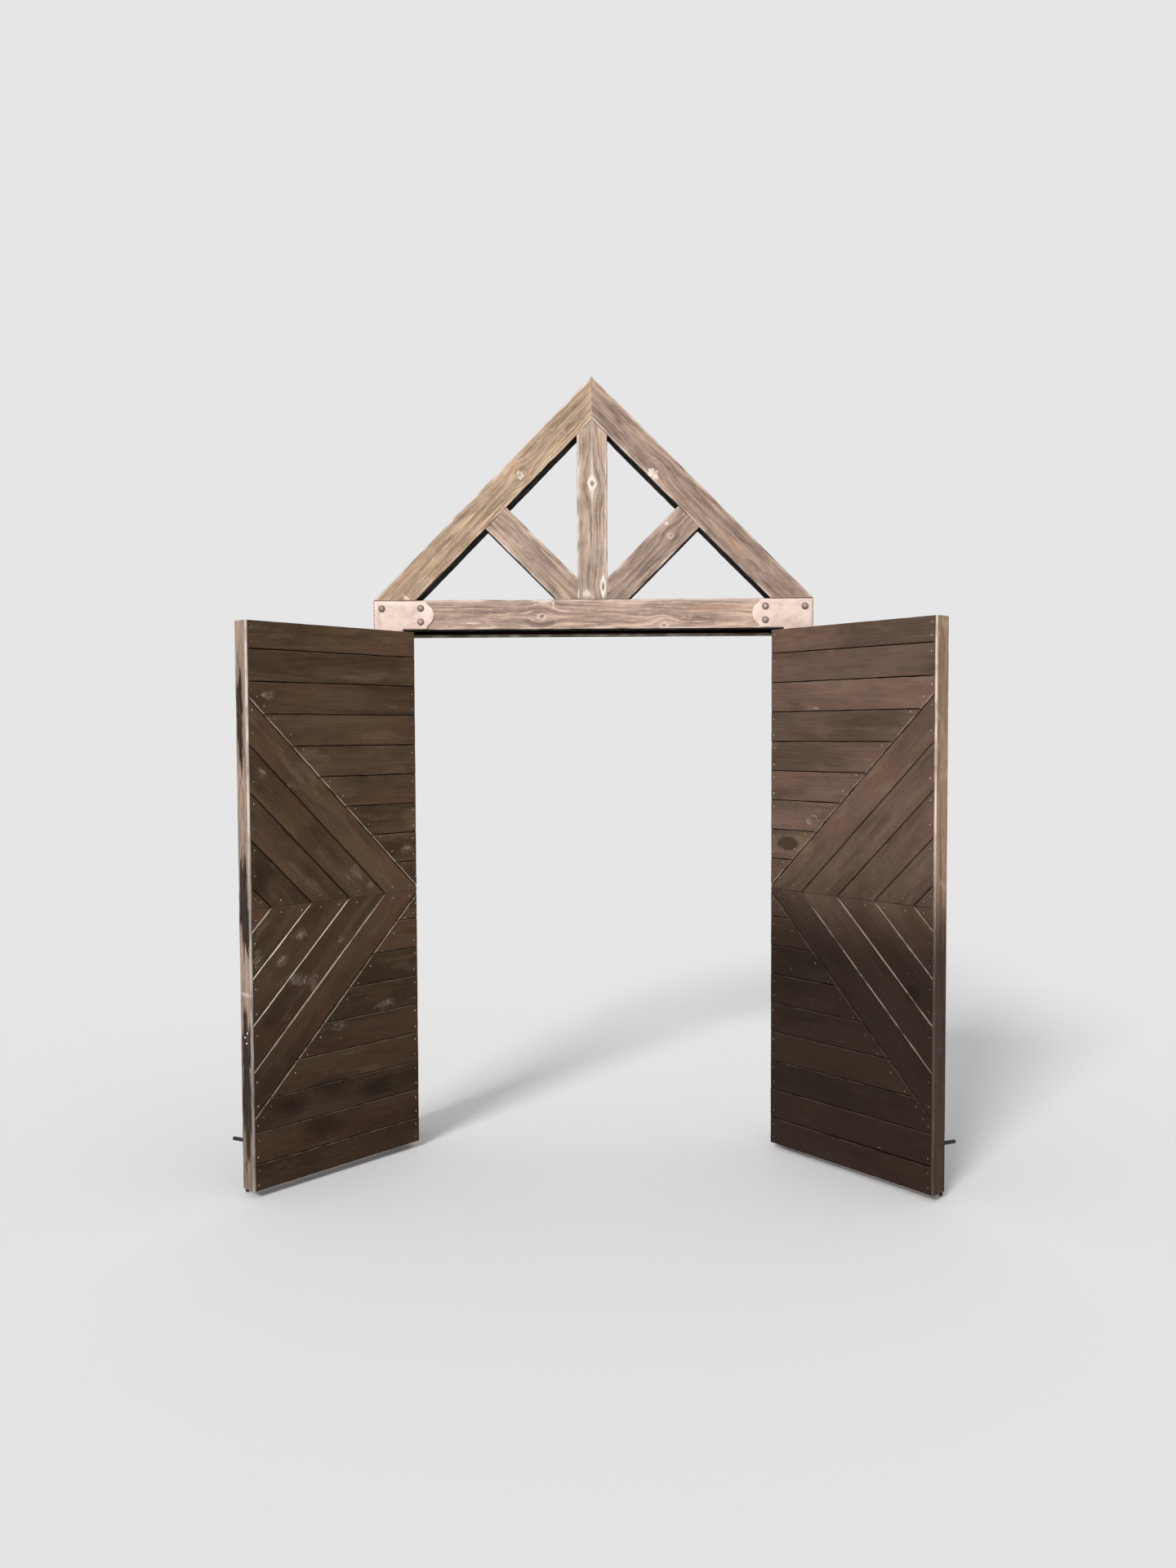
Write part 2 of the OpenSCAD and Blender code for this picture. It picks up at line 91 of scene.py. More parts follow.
def camera():
    """The photograph's camera: its place, and its axes from yaw, pitch and roll."""
    yaw, pitch, roll = (math.radians(v) for v in CAMERA_TURN)
    level = Vector((-math.sin(yaw), math.cos(yaw), 0))
    forward = level * math.cos(pitch) - Vector((0, 0, math.sin(pitch)))
    right = Vector((math.cos(yaw), math.sin(yaw), 0))
    up = right.cross(forward)
    x = right * math.cos(roll) + up * math.sin(roll)
    y = up * math.cos(roll) - right * math.sin(roll)
    data = bpy.data.cameras.new("camera")
    data.sensor_fit = "AUTO"
    data.sensor_width = SENSOR
    data.lens = LENS
    data.clip_end = 300
    cam = bpy.data.objects.new("camera", data)
    bpy.context.scene.collection.objects.link(cam)
    turn = Matrix((x, y, -forward)).transposed().to_4x4()
    cam.matrix_world = Matrix.Translation(CAMERA_AT) @ turn
    bpy.context.scene.camera = cam


# Materials

class Nodes:
    """A node tree, written as expressions. Colours are given as they look, from 0 to 255."""

    def __init__(self, tree):
        self.tree = tree

    def put(self, socket, value):
        if isinstance(value, bpy.types.NodeSocket):
            self.tree.links.new(value, socket)
        else:
            socket.default_value = srgb(*value) if socket.type == "RGBA" else value

    def node(self, kind, inputs, **settings):
        """A new node's outputs. Its inputs go by name or number."""
        node = self.tree.nodes.new("ShaderNode" + kind)
        for key, value in settings.items():
            setattr(node, key, value)
        for key, value in inputs.items():
            if value is not None:
                self.put(node.inputs[key], value)
        return node.outputs

    def attr(self, name, output="Fac"):
        return self.node("Attribute", {}, attribute_name=name)[output]

    def place(self):
        return self.node("TexCoord", {})["Object"]

    def math(self, op, *values):
        return self.node("Math", dict(enumerate(values)), operation=op)[0]

    def times(self, product, *factors):
        for factor in factors:
            product = self.math("MULTIPLY", product, factor)
        return product

    def vec(self, op, a, b=None, scale=None):
        outputs = self.node("VectorMath", {0: a, 1: b, "Scale": scale}, operation=op)
        return outputs["Value" if op in ("LENGTH", "DOT_PRODUCT") else "Vector"]

    def split(self, vector):
        return self.node("SeparateXYZ", {0: vector})

    def noise(self, vector, along, across, detail=3, rough=0.55, up=None):
        vector = self.vec("MULTIPLY", vector, (along, across, up or across))
        inputs = {"Vector": vector, "Scale": 1, "Detail": detail, "Roughness": rough}
        return self.node("TexNoise", inputs)["Fac"]

    def range(self, value, low, high, to_low=0.0, to_high=1.0):
        inputs = {"Value": value, "From Min": low, "From Max": high, "To Min": to_low, "To Max": to_high}
        return self.node("MapRange", inputs, interpolation_type="SMOOTHSTEP")[0]

    def fall(self, value, low, high):
        return self.range(value, low, high, 1.0, 0.0)

    def ramp(self, value, *stops):
        node = self.tree.nodes.new("ShaderNodeValToRGB")
        self.put(node.inputs[0], value)
        marks = node.color_ramp.elements
        while len(marks) < len(stops):
            marks.new(0.5)
        for mark, (place, colour) in zip(marks, stops):
            mark.position = place
            mark.color = srgb(*colour)
        return node.outputs[0]

    def mix(self, factor, a, b, blend="MIX"):
        return self.node("Mix", {"Factor": factor, 6: a, 7: b}, data_type="RGBA", blend_type=blend)[2]

    def tint(self, base, *tints):
        """The base mixed with other colours, each where a value is in a range."""
        for value, low, high, to_low, to_high, colour in tints:
            base = self.mix(self.range(value, low, high, to_low, to_high), base, colour)
        return base

    def gamma(self, colour, power):
        return self.node("Gamma", {"Color": colour, "Gamma": power})[0]

    def bump(self, height, distance, strength):
        return self.node("Bump", {"Height": height, "Distance": distance, "Strength": strength})[0]


class Mat(Nodes):
    """A material's nodes."""

    def __init__(self, name, metallic=0.0, specular=0.5):
        self.material = bpy.data.materials.new(name)
        self.material.use_nodes = True
        super().__init__(self.material.node_tree)
        self.sockets = self.tree.nodes["Principled BSDF"].inputs
        self.sockets["Metallic"].default_value = metallic
        self.sockets["Specular IOR Level"].default_value = specular

    def finish(self, colour, roughness, normal):
        for key, value in (("Base Color", colour), ("Roughness", roughness), ("Normal", normal)):
            self.put(self.sockets[key], value)
        return self.material


def growth(m, grain, pith, spacing, taper, wander):
    """Thin lines of late wood round a pith that wanders along the timber."""
    slow = m.noise(grain, 0.9, 4, 2)
    quick = m.noise(grain, 2.2, 16, 2)
    s, p, q = m.split(grain)
    p = m.math("SUBTRACT", m.math("MULTIPLY_ADD", m.math("SUBTRACT", slow, 0.5), wander, p), pith[0])
    q = m.math("SUBTRACT", q, pith[1])
    radius = m.math("SQRT", m.math("MULTIPLY_ADD", p, p, m.times(q, q)))
    radius = m.math("MULTIPLY_ADD", s, taper, radius)
    radius = m.math("MULTIPLY_ADD", m.math("SUBTRACT", quick, 0.5), spacing * 1.2, radius)
    wave = m.math("FRACT", m.math("DIVIDE", radius, spacing))
    return m.times(m.range(wave, 0.35, 0.85), m.fall(wave, 0.9, 1.0))


def spots(m, place, marks, ragged, edge, along, across):
    """A mask of ragged spots. Each mark is its place and its three half sizes."""
    rough = m.times(m.math("SUBTRACT", m.noise(place, along, across, 4, 0.65), 0.5), ragged)
    mask = 0.0
    for centre, size in marks:
        away = m.vec("MULTIPLY", m.vec("SUBTRACT", place, centre), tuple(1 / v for v in size))
        near = m.fall(m.math("ADD", m.vec("LENGTH", away), rough), edge, 1.0)
        mask = m.math("MAXIMUM", mask, near)
    return mask


def knotted(m, grain, knots):
    """Grain that flows round knots, and the knots' pale wood and dark hearts."""
    wobble = m.times(m.math("SUBTRACT", m.noise(grain, 60, 80, 3, 0.6), 0.5), 1.5)
    pale, hearts = 0.0, 0.0
    for centre, length, width, kind in knots:
        away = m.vec("SUBTRACT", grain, centre)
        flat = m.vec("MULTIPLY", away, (1 / length, 1 / width, 1 / 0.03))
        if kind == "diamond":
            d = m.vec("DOT_PRODUCT", m.vec("ABSOLUTE", flat), (0.5, 0.5, 0.3))
            d = m.math("MULTIPLY_ADD", m.vec("LENGTH", flat), 0.5, d)
            d = m.math("MULTIPLY_ADD", wobble, 0.25, d)
        else:
            d = m.math("ADD", m.vec("LENGTH", flat), wobble)
        pull = m.range(d, 0.8, 4.5, 0.8, 0.0)
        across = m.vec("MULTIPLY", away, (0.0, 1.0, 0.0))
        grain = m.vec("SUBTRACT", grain, m.vec("SCALE", across, scale=pull))
        shown = 0.35 if kind == "dark" else 1.0
        if kind == "pale":
            d = m.math("MULTIPLY_ADD", wobble, 0.8, d)
            shown = m.range(m.noise(grain, 110, 150, 2), 0.44, 0.54, 0.25, 1.0)
        pale = m.math("MAXIMUM", pale, m.times(m.fall(d, 0.7, 1.1), shown))
        if kind != "pale":
            hearts = m.math("MAXIMUM", hearts, m.fall(d, 0.3, 0.5))
    return grain, pale, hearts


def pale_line(m, raw, grain, node, line):
    """A mask of a pale line along the grain."""
    x, z, before, after, half = line
    start, middle = grain_place(node, x, z)[:2]
    s, p, q = m.split(grain)
    width = m.times(m.range(m.noise(raw, 14, 3, 2), 0.36, 0.64, 0.35, 1.35), half)
    away = m.math("DIVIDE", m.math("ABSOLUTE", m.math("SUBTRACT", p, middle)), width)
    ends = (m.range(s, start - before, start - before + 0.12),
            m.fall(s, start + after - 0.12, start + after))
    return m.times(m.fall(away, 0.3, 1.0), *ends, m.range(q, 0.02, 0.05, 0, 0.85))


def weathered_timber(node, name, tone, pith, knots=(), chips=(), tans=(), line=None, warm=0.5, rim=0.8):
    """Sawn timber whose dark staining has weathered off its open faces, with a near-black painted shade on
    faces that look down, and pale arrises that are partly bare wood and partly painted highlight. Rim is how
    bare and bright its arrises are.
    """
    def shade(k, blue=1.0):
        return tone[0] * k, tone[1] * k, tone[2] * k * blue

    m = Mat(name, specular=0.03)
    raw = m.attr("grain", "Vector")
    arris, stain_and_shade = m.attr("arris"), m.attr("stain_and_shade")
    grain, pale, hearts = knotted(m, raw, [(grain_place(node, x, z), *knot) for x, z, *knot in knots])
    late = growth(m, grain, pith, 0.0125, 0.03, 0.08)
    patch = m.noise(raw, 2.4, 10, 4, 0.6)
    drift = m.noise(raw, 1.3, 6, 2)
    mottle = m.noise(raw, 26, 48, 4, 0.65)
    fine = m.noise(grain, 4, 150, 3, 0.6)
    streak = m.noise(grain, 3.4, 58, 3, 0.6)
    dash = m.noise(grain, 9, 130, 2)
    fibre = m.noise(grain, 16, 420, 2)
    base = m.ramp(patch, (0.34, shade(0.83)), (0.5, shade(0.95)), (0.66, shade(1.06)))
    base = m.tint(
        base, (drift, 0.5, 0.66, 0, warm, shade(1.1, 0.96)),
        (streak, 0.53, 0.68, 0, 0.5, shade(1.22, 0.98)), (streak, 0.32, 0.46, 0.5, 0, shade(0.62, 1.05)))
    seen = m.times(late, m.range(drift, 0.36, 0.6, 0.1, 0.55))
    base = m.mix(seen, base, shade(1.24, 0.99))
    base = m.tint(
        base, (mottle, 0.34, 0.46, 0.24, 0, shade(0.68)), (mottle, 0.56, 0.68, 0, 0.26, shade(1.24)),
        (fine, 0.36, 0.5, 0.32, 0, shade(0.6, 1.05)), (fine, 0.58, 0.68, 0, 0.32, shade(1.28)),
        (dash, 0.66, 0.74, 0, 0.6, shade(1.3, 0.97)), (fibre, 0.35, 0.65, 0.12, 0, shade(0.52)))
    base = m.mix(1.0, m.gamma(m.mix(1.0, base, shade(0.97), "DIVIDE"), 1.38), shade(0.97), "MULTIPLY")
    crack = m.fall(m.noise(grain, 0.9, 90, 2, 0.5), 0.24, 0.3)
    base = m.mix(m.times(crack, 0.65), base, (70, 56, 50))
    tan = spots(m, raw, on_timber(node, tans, 0.05), 1.6, 0.2, 8, 45)
    base = m.mix(m.times(tan, 0.45), base, (208, 170, 140))
    if line:
        base = m.mix(pale_line(m, raw, grain, node, line), base, (234, 214, 194))
    raised = m.times(pale, m.range(fine, 0.34, 0.58, 0.7, 1.0))
    base = m.mix(raised, base, (255, 242, 230))
    base = m.mix(m.times(hearts, 0.9), base, (134, 116, 102))
    chip = spots(m, raw, on_timber(node, chips, 0.03), 2.6, 0.3, 20, 90)
    chip = m.times(chip, m.range(fine, 0.34, 0.58, 0.4, 1.0))
    base = m.mix(chip, base, (242, 226, 213))
    # Faces that look down: near-black painted shade over the kept staining.
    base = m.mix(stain_and_shade, base, m.ramp(fine, (0.35, (5, 3, 2)), (0.65, (16, 11, 9))))
    # Pale arrises: partly bare wood, partly painted highlight.
    worn = m.range(m.noise(raw, 9, 40, 3), 0.36, 0.58, 0.05 * rim, 1.35 * rim)
    bare = m.times(arris, worn, m.range(stain_and_shade, 0.0, 1.0, 1.0, 0.25))
    base = m.mix(m.math("MINIMUM", bare, 1.0), base, (240, 220, 205))
    height = m.math("ADD", m.times(late, 0.7), m.math("ADD", m.times(fibre, 0.4), fine))
    height = m.math("SUBTRACT", height, m.times(crack, 1.5))
    return m.finish(base, m.range(fine, 0.3, 0.7, 0.8, 0.95), m.bump(height, 0.0012, 0.9))


def marked_boards(m, base, raw, blotch, face, marks):
    """Tan patches, dark blots, damp stains and pale scuffs on a leaf's boarded face."""
    place = m.place()
    normal, level = face
    front = m.range(m.vec("DOT_PRODUCT", place, normal), level - 0.012, level - 0.008)
    tan = m.times(spots(m, place, marks["tans"], 0.9, 0.5, 30, 30), front, 0.55)
    base = m.mix(tan, base, (128, 105, 85))
    blot = m.times(spots(m, place, marks["blots"], 0.6, 0.62, 40, 40), front, 0.8)
    base = m.mix(blot, base, (56, 42, 35))
    damp = spots(m, place, marks["stains"], 1.2, 0.1, 13, 13)
    damp = m.times(damp, m.range(blotch, 0.3, 0.46, 0.5, 1.0), front, 0.5)
    base = m.mix(damp, base, (22, 15, 10))
    rubbed = m.times(spots(m, place, marks["scuffs"], 2.4, 0.1, 48, 48), front)
    smear = m.range(m.noise(raw, 11, 26, 3, 0.55), 0.36, 0.64, 0.14, 1.0)
    base = m.mix(m.times(rubbed, smear, 0.4), base, (150, 134, 121))
    core = m.range(m.noise(raw, 26, 70, 3, 0.55), 0.52, 0.7)
    return m.mix(m.times(rubbed, core, 0.34), base, (206, 192, 180))


def stained_boards(name, light, dark, ruddy, grey, bare, low, face, marks):
    """Boards of dark staining, uneven in tone and hue, with painted highlights and painted shade on their
    bevels, and
    darker low down: darker staining on the left leaf, a painted shadow on the right leaf. Low is the shares
    of the leaf's height between which that fades, and how dark it gets."""
    m = Mat(name, specular=0.06)
    raw = m.attr("grain", "Vector")
    tone, edge, high = m.attr("tone"), m.attr("edge"), m.attr("high")
    late = growth(m, raw, (0.0, 0.06), 0.017, 0.04, 0.12)
    blotch = m.noise(raw, 3.2, 6, 5, 0.6)
    hue = m.noise(raw, 0.9, 2.2, 3)
    cloud = m.noise(raw, 1.2, 9, 3)
    streak = m.noise(raw, 2.2, 46, 4, 0.6)
    fibre = m.noise(raw, 12, 300, 2)
    wipe = m.noise(raw, 3.2, 12, 4, 0.62)
    base = m.mix(m.range(blotch, 0.34, 0.64), dark, light)
    base = m.tint(base, (hue, 0.5, 0.64, 0, 0.42, ruddy), (hue, 0.36, 0.49, 0.34, 0, grey),
                  (cloud, 0.42, 0.66, 0, 0.36, m.mix(0.22, light, bare)),
                  (streak, 0.54, 0.72, 0, 0.16, m.mix(0.3, light, bare)),
                  (streak, 0.28, 0.46, 0.2, 0, m.mix(0.75, dark, (16, 11, 8))))
    base = m.mix(m.times(late, 0.035), base, bare)
    # The last tint: darker low down, a painted shadow on the right leaf.
    base = m.tint(base, (fibre, 0.35, 0.65, 0.1, 0, (18, 13, 9)),
                  (wipe, 0.53, 0.64, 0, 0.18, (30, 21, 14)), (wipe, 0.32, 0.43, 0.14, 0, bare),
                  (tone, 0.0, 1.0, 0.2, 0, (24, 17, 12)), (high, *low, 0.0, (24, 16, 11)))
    base = marked_boards(m, base, raw, blotch, face, marks)
    nicks = m.noise(raw, 34, 60, 3, 0.65)
    base = m.tint(base, (nicks, 0.7, 0.78, 0, 0.5, (150, 134, 120)))
    # Bevels facing the light: painted highlight in a pale bare-wood colour.
    worn = m.range(m.noise(raw, 9, 9, 4, 0.7), 0.36, 0.56, m.times(edge, 0.7), 1.0)
    bevel_highlight = m.mix(m.range(edge, 0.6, 1.0, 0.35, 0.75), bare, (255, 240, 222))
    base = m.mix(m.times(m.math("MAXIMUM", edge, 0.0), worn), base, bevel_highlight)
    # Bevels turned from the light, and the tongues: painted shade in the grooves.
    groove_shade = m.math("MAXIMUM", m.times(edge, -1.0), 0.0)
    base = m.mix(m.times(groove_shade, 0.97), base, (26, 12, 5))
    relief = m.math("ADD", m.times(late, 0.25), m.math("ADD", m.times(fibre, 0.4), streak))
    return m.finish(base, m.range(blotch, 0.3, 0.7, 0.6, 0.78), m.bump(relief, 0.0005, 0.6))


def stop_strip_shade_and_highlight():
    """The strip under the beam: its dark staining deepened to a near-black painted shade, and a painted
    highlight along its lower arris.
    """
    m = Mat("stop_strip_shade_and_highlight", specular=0.03)
    grain, arris = m.attr("grain", "Vector"), m.attr("arris")
    streak = m.noise(grain, 4, 90, 3, 0.6)
    worn = m.range(m.noise(grain, 7, 30, 3), 0.3, 0.5, 0.55, 1.4)
    # Near-black: painted shade under the beam.
    base = m.mix(m.range(streak, 0.35, 0.65), (10, 4, 3), (26, 13, 9))
    # Pale lower arris only: painted highlight.
    bare = m.times(arris, worn, m.fall(m.split(grain)[1], -0.004, 0.0))
    base = m.mix(m.math("MINIMUM", bare, 1.0), base, (232, 220, 200))
    return m.finish(base, m.range(streak, 0.3, 0.7, 0.78, 0.92), m.bump(streak, 0.0008, 0.6))


def stained_framing(name, low, high, bare, worn_to):
    """The stiles, rails, ledges and braces behind the boards, with dark staining."""
    m = Mat(name, specular=0.15)
    grain, arris = m.attr("grain", "Vector"), m.attr("arris")
    late = growth(m, grain, (0.01, 0.05), 0.011, 0.03, 0.06)
    streak = m.noise(grain, 3, 80, 4, 0.6)
    patch = m.noise(grain, 3, 12, 4, 0.6)
    base = m.ramp(patch, (0.34, low), (0.66, high))
    base = m.tint(base, (streak, 0.52, 0.72, 0, 0.5, m.mix(0.4, high, bare)),
                  (streak, 0.28, 0.46, 0.5, 0, (28, 21, 17)))
    base = m.mix(m.times(late, 0.22), base, bare)
    base = m.mix(m.times(arris, m.range(patch, 0.35, 0.6, 0.2, worn_to)), base, bare)
    height = m.math("ADD", m.times(late, 0.4), streak)
    return m.finish(base, m.range(streak, 0.3, 0.7, 0.68, 0.86), m.bump(height, 0.0008, 0.8))


def trim_timber(name, low, high, edge, streaks, blotched, stain_and_shadow_low, inward, smears=()):
    """The trim on a leaf's free edge: grey wood, ragged streaks of old staining and a pale face beside the
    boards that is partly bare wood and partly painted highlight.
    Its darkening low down is given by two heights, between which it fades, and how dark it gets: darker
    staining on the left trim, a painted shadow on the right trim."""
    m = Mat(name, specular=0.12)
    grain, arris = m.attr("grain", "Vector"), m.attr("arris")
    streak = m.noise(grain, 2.4, 30, 4, 0.62)
    fine = m.noise(grain, 7, 150, 3)
    blot = m.noise(grain, 16, 34, 4, 0.65)
    along, across, deep = m.split(grain)
    base = m.mix(m.range(streak, 0.36, 0.64), low, high)
    base = m.tint(base, (fine, 0.36, 0.6, 0.22, 0, (86, 72, 66)),
                  (blot, 0.54, 0.68, 0, blotched, m.mix(0.5, high, edge)),
                  (blot, 0.3, 0.42, blotched, 0, (84, 68, 60)))
    base = m.mix(m.times(spots(m, grain, smears, 1.2, 0.4, 20, 60), 0.3), base, edge)
    old = m.times(spots(m, grain, streaks, 2.0, 0.7, 7, 60), m.range(fine, 0.3, 0.6, 0.84, 1.0))
    base = m.mix(old, base, (42, 32, 26))
    # Pale face beside the boards, brighter higher up: partly bare wood, partly painted highlight.
    beside = m.times(m.range(across, 0.0365, 0.0405), m.range(deep, 0.004 * inward, 0.0, 0.25, 1.0))
    kept = m.range(m.noise(grain, 4, 1, 3, 0.6), 0.4, 0.56, 0.3, 1.0)
    kept = m.times(kept, m.range(along, 0.1, 0.45, 0.45, 1.0))
    base = m.mix(m.times(beside, kept, m.range(fine, 0.3, 0.5, 0.8, 1.0)), base, edge)
    # Pale arrises: partly bare wood, partly painted highlight.
    bare = m.times(arris, m.range(across, 0.0, 0.03, 0.3, 0.6))
    base = m.mix(m.times(bare, m.range(streak, 0.34, 0.54, 0.25, 1.0)), base, edge)
    # Darker low down: old staining on the left trim, a painted shadow on the right trim.
    uneven = m.math("MULTIPLY_ADD", m.math("SUBTRACT", streak, 0.5), 0.25, along)
    base = m.tint(base, (uneven, *stain_and_shadow_low, 0.0, (44, 35, 30)))
    normal = m.bump(m.math("ADD", streak, fine), 0.0008, 0.8)
    return m.finish(base, m.range(fine, 0.3, 0.7, 0.72, 0.9), normal)


def galvanised():
    """Zinc with a soft spangle and faint scratches."""
    m = Mat("galvanised_steel", metallic=0.2, specular=0.4)
    place = m.place()
    cloud = m.noise(place, 13, 13, 4, 0.62)
    fleck = m.split(m.node("TexVoronoi", {"Vector": place, "Scale": 120})["Color"])[0]
    scratch = m.noise(place, 14, 14, 2, up=150)
    base = m.ramp(cloud, (0.34, (222, 198, 185)), (0.5, (245, 220, 206)),
                  (0.66, (252, 232, 219)))
    base = m.tint(base, (fleck, 0.0, 1.0, 0, 0.14, (186, 164, 156)),
                  (scratch, 0.64, 0.72, 0, 0.3, (250, 234, 224)))
    rough = m.math("MULTIPLY_ADD", fleck, 0.06, m.range(cloud, 0.3, 0.7, 0.46, 0.6))
    return m.finish(base, rough, m.bump(cloud, 0.0008, 0.35))


def steel(name, tone_a, tone_b, metallic, roughness, rust=0.0, shade_ring=None, shadow_low_down=None):
    """Cloudy steel or iron, with rust, a band of painted shade round each bolt head, or heads darkened low
    down by a painted shadow.
    """
    m = Mat(name, metallic=metallic)
    place = m.place()
    cloud = m.noise(place, 55, 55, 4, 0.6)
    pits = m.noise(place, 420, 420, 2)
    base = m.mix(m.range(cloud, 0.38, 0.62), tone_a, tone_b)
    # A darker band round each bolt head: painted shade.
    if shade_ring:
        base = m.tint(base, (m.attr("rim"), 0.45, 0.95, 0.0, 1.0, shade_ring))
    # Heads darkened low down: painted shadow.
    if shadow_low_down:
        base = m.tint(base, (m.split(place)[2], *shadow_low_down, 0.75, 0.0, (58, 48, 42)))
    if rust:
        patches = m.noise(place, 30, 30, 4, 0.7)
        base = m.tint(base, (patches, 0.58, 0.7, 0, rust, (88, 58, 42)))
    rough = m.range(cloud, 0.3, 0.7, roughness - 0.1, roughness + 0.12)
    return m.finish(base, rough, m.bump(m.math("ADD", cloud, pits), 0.0005, 0.5))


# Shapes

# Corners nearer than this are one, and faces that turn less than this are one
SAME_POINT, FLAT_ANGLE = 2e-5, math.radians(0.6)


def new_piece(name, bm, body, slot, material, *nodes):
    """An object from a mesh that rides a body, has a material slot and stands in for CAD nodes. The slot
    argument is not used.
    """
    mesh = bpy.data.meshes.new(name)
    bm.to_mesh(mesh)
    bm.free()
    mesh.materials.append(material)
    piece = bpy.data.objects.new(name, mesh)
    bpy.context.scene.collection.objects.link(piece)
    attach(piece, body)
    if nodes:
        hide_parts(*nodes)
    return piece


def cad_mesh(node):
    """A clean copy of a CAD node's solids: shared corners, whole faces."""
    bm = bmesh.new()
    bm.from_mesh(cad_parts[node].data)
    bmesh.ops.remove_doubles(bm, verts=bm.verts, dist=SAME_POINT)
    bmesh.ops.dissolve_limit(bm, angle_limit=FLAT_ANGLE, verts=bm.verts, edges=bm.edges)
    return bm


def timber_axes(points, along, across):
    """A piece's middle, its axes along, across and through, and its half sizes on them."""
    a = Vector(along).normalized()
    b = Vector(across)
    b = (b - a * a.dot(b)).normalized()
    axes = (a, b, a.cross(b))
    spans = [(min(p.dot(d) for p in points), max(p.dot(d) for p in points)) for d in axes]
    centre = sum((d * (lo + hi) / 2 for d, (lo, hi) in zip(axes, spans)), Vector())
    return centre, axes, [(hi - lo) / 2 for lo, hi in spans]


def facing(along):
    """The direction across a frame timber, with which its front face is on its third axis."""
    return Vector((-along[2], 0, along[0]))


def grain_place(node, x, z):
    """A point of a frame timber's front face in its grain coordinates."""
    along = ALONG[node]
    points = [v.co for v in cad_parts[node].data.vertices]
    centre, axes = timber_axes(points, along, facing(along))[:2]
    return tuple((Vector((x, -HALF, z)) - centre).dot(d) for d in axes)


def on_timber(node, marks, deep):
    """Places and sizes of marks given by their x, z and half sizes along and across."""
    return [(grain_place(node, x, z), (long, wide, deep)) for x, z, long, wide in marks]


def islands(bm):
    """The vertices of each separate solid."""
    seen, found = set(), []
    for v in bm.verts:
        if v in seen:
            continue
        stack, group = [v], []
        seen.add(v)
        while stack:
            w = stack.pop()
            group.append(w)
            for e in w.link_edges:
                o = e.other_vert(w)
                if o not in seen:
                    seen.add(o)
                    stack.append(o)
        found.append(group)
    return found


def cut(bm, group, point, normal):
    """Cuts the faces of one solid along a plane, so that it has vertices there."""
    edges = list(dict.fromkeys(e for v in group for e in v.link_edges))
    faces = list(dict.fromkeys(f for v in group for f in v.link_faces))
    made = bmesh.ops.bisect_plane(bm, geom=group + edges + faces, plane_co=point, plane_no=normal, dist=1e-6)
    return list(dict.fromkeys(group + [g for g in made["geom_cut"] if isinstance(g, bmesh.types.BMVert)]))


def arrises(bm):
    """The sharp convex edges: two ends, and the direction into the wood."""
    found = []
    for e in bm.edges:
        if len(e.link_faces) == 2 and e.is_convex and e.calc_face_angle(0) > 0.3:
            f, g = e.link_faces
            found.append((e.verts[0].co.copy(), e.verts[1].co.copy(), -(f.normal + g.normal).normalized()))
    return found


def sliced(bm, group, centre, axes, halves, ends, insets, pitch):
    """Cuts a timber near its edges and at even steps, so that wear has vertices to move."""
    a, b, c = axes
    for d, half in ((b, halves[1]), (c, halves[2])):
        for inset in insets:
            if half > inset * 1.5:
                for sign in (-1, 1):
                    group = cut(bm, group, centre + d * sign * (half - inset), d)
    for middle, normal in ends:
        if max(abs(normal.dot(b)), abs(normal.dot(c))) < 0.98:
            group = cut(bm, group, middle - normal * insets[0], normal)
    steps = max(2, round(2 * halves[0] / pitch))
    for i in range(1, steps):
        group = cut(bm, group, centre + a * (-halves[0] + 2 * halves[0] * i / steps), a)
    return group


def nearest_arris(point, edges):
    """How far the nearest edge is, its direction into the wood, the place along it and its number."""
    best, into, where, index = 1.0, Vector(), 0.0, 0
    for i, (start, stop, inward) in enumerate(edges):
        nearest, t = intersect_point_line(point, start, stop)
        nearest = start if t < 0 else stop if t > 1 else nearest
        d = (point - nearest).length
        if d < best:
            best, into, index = d, inward, i
            where = min(max(t, 0.0), 1.0) * (stop - start).length
    return best, into, where, index


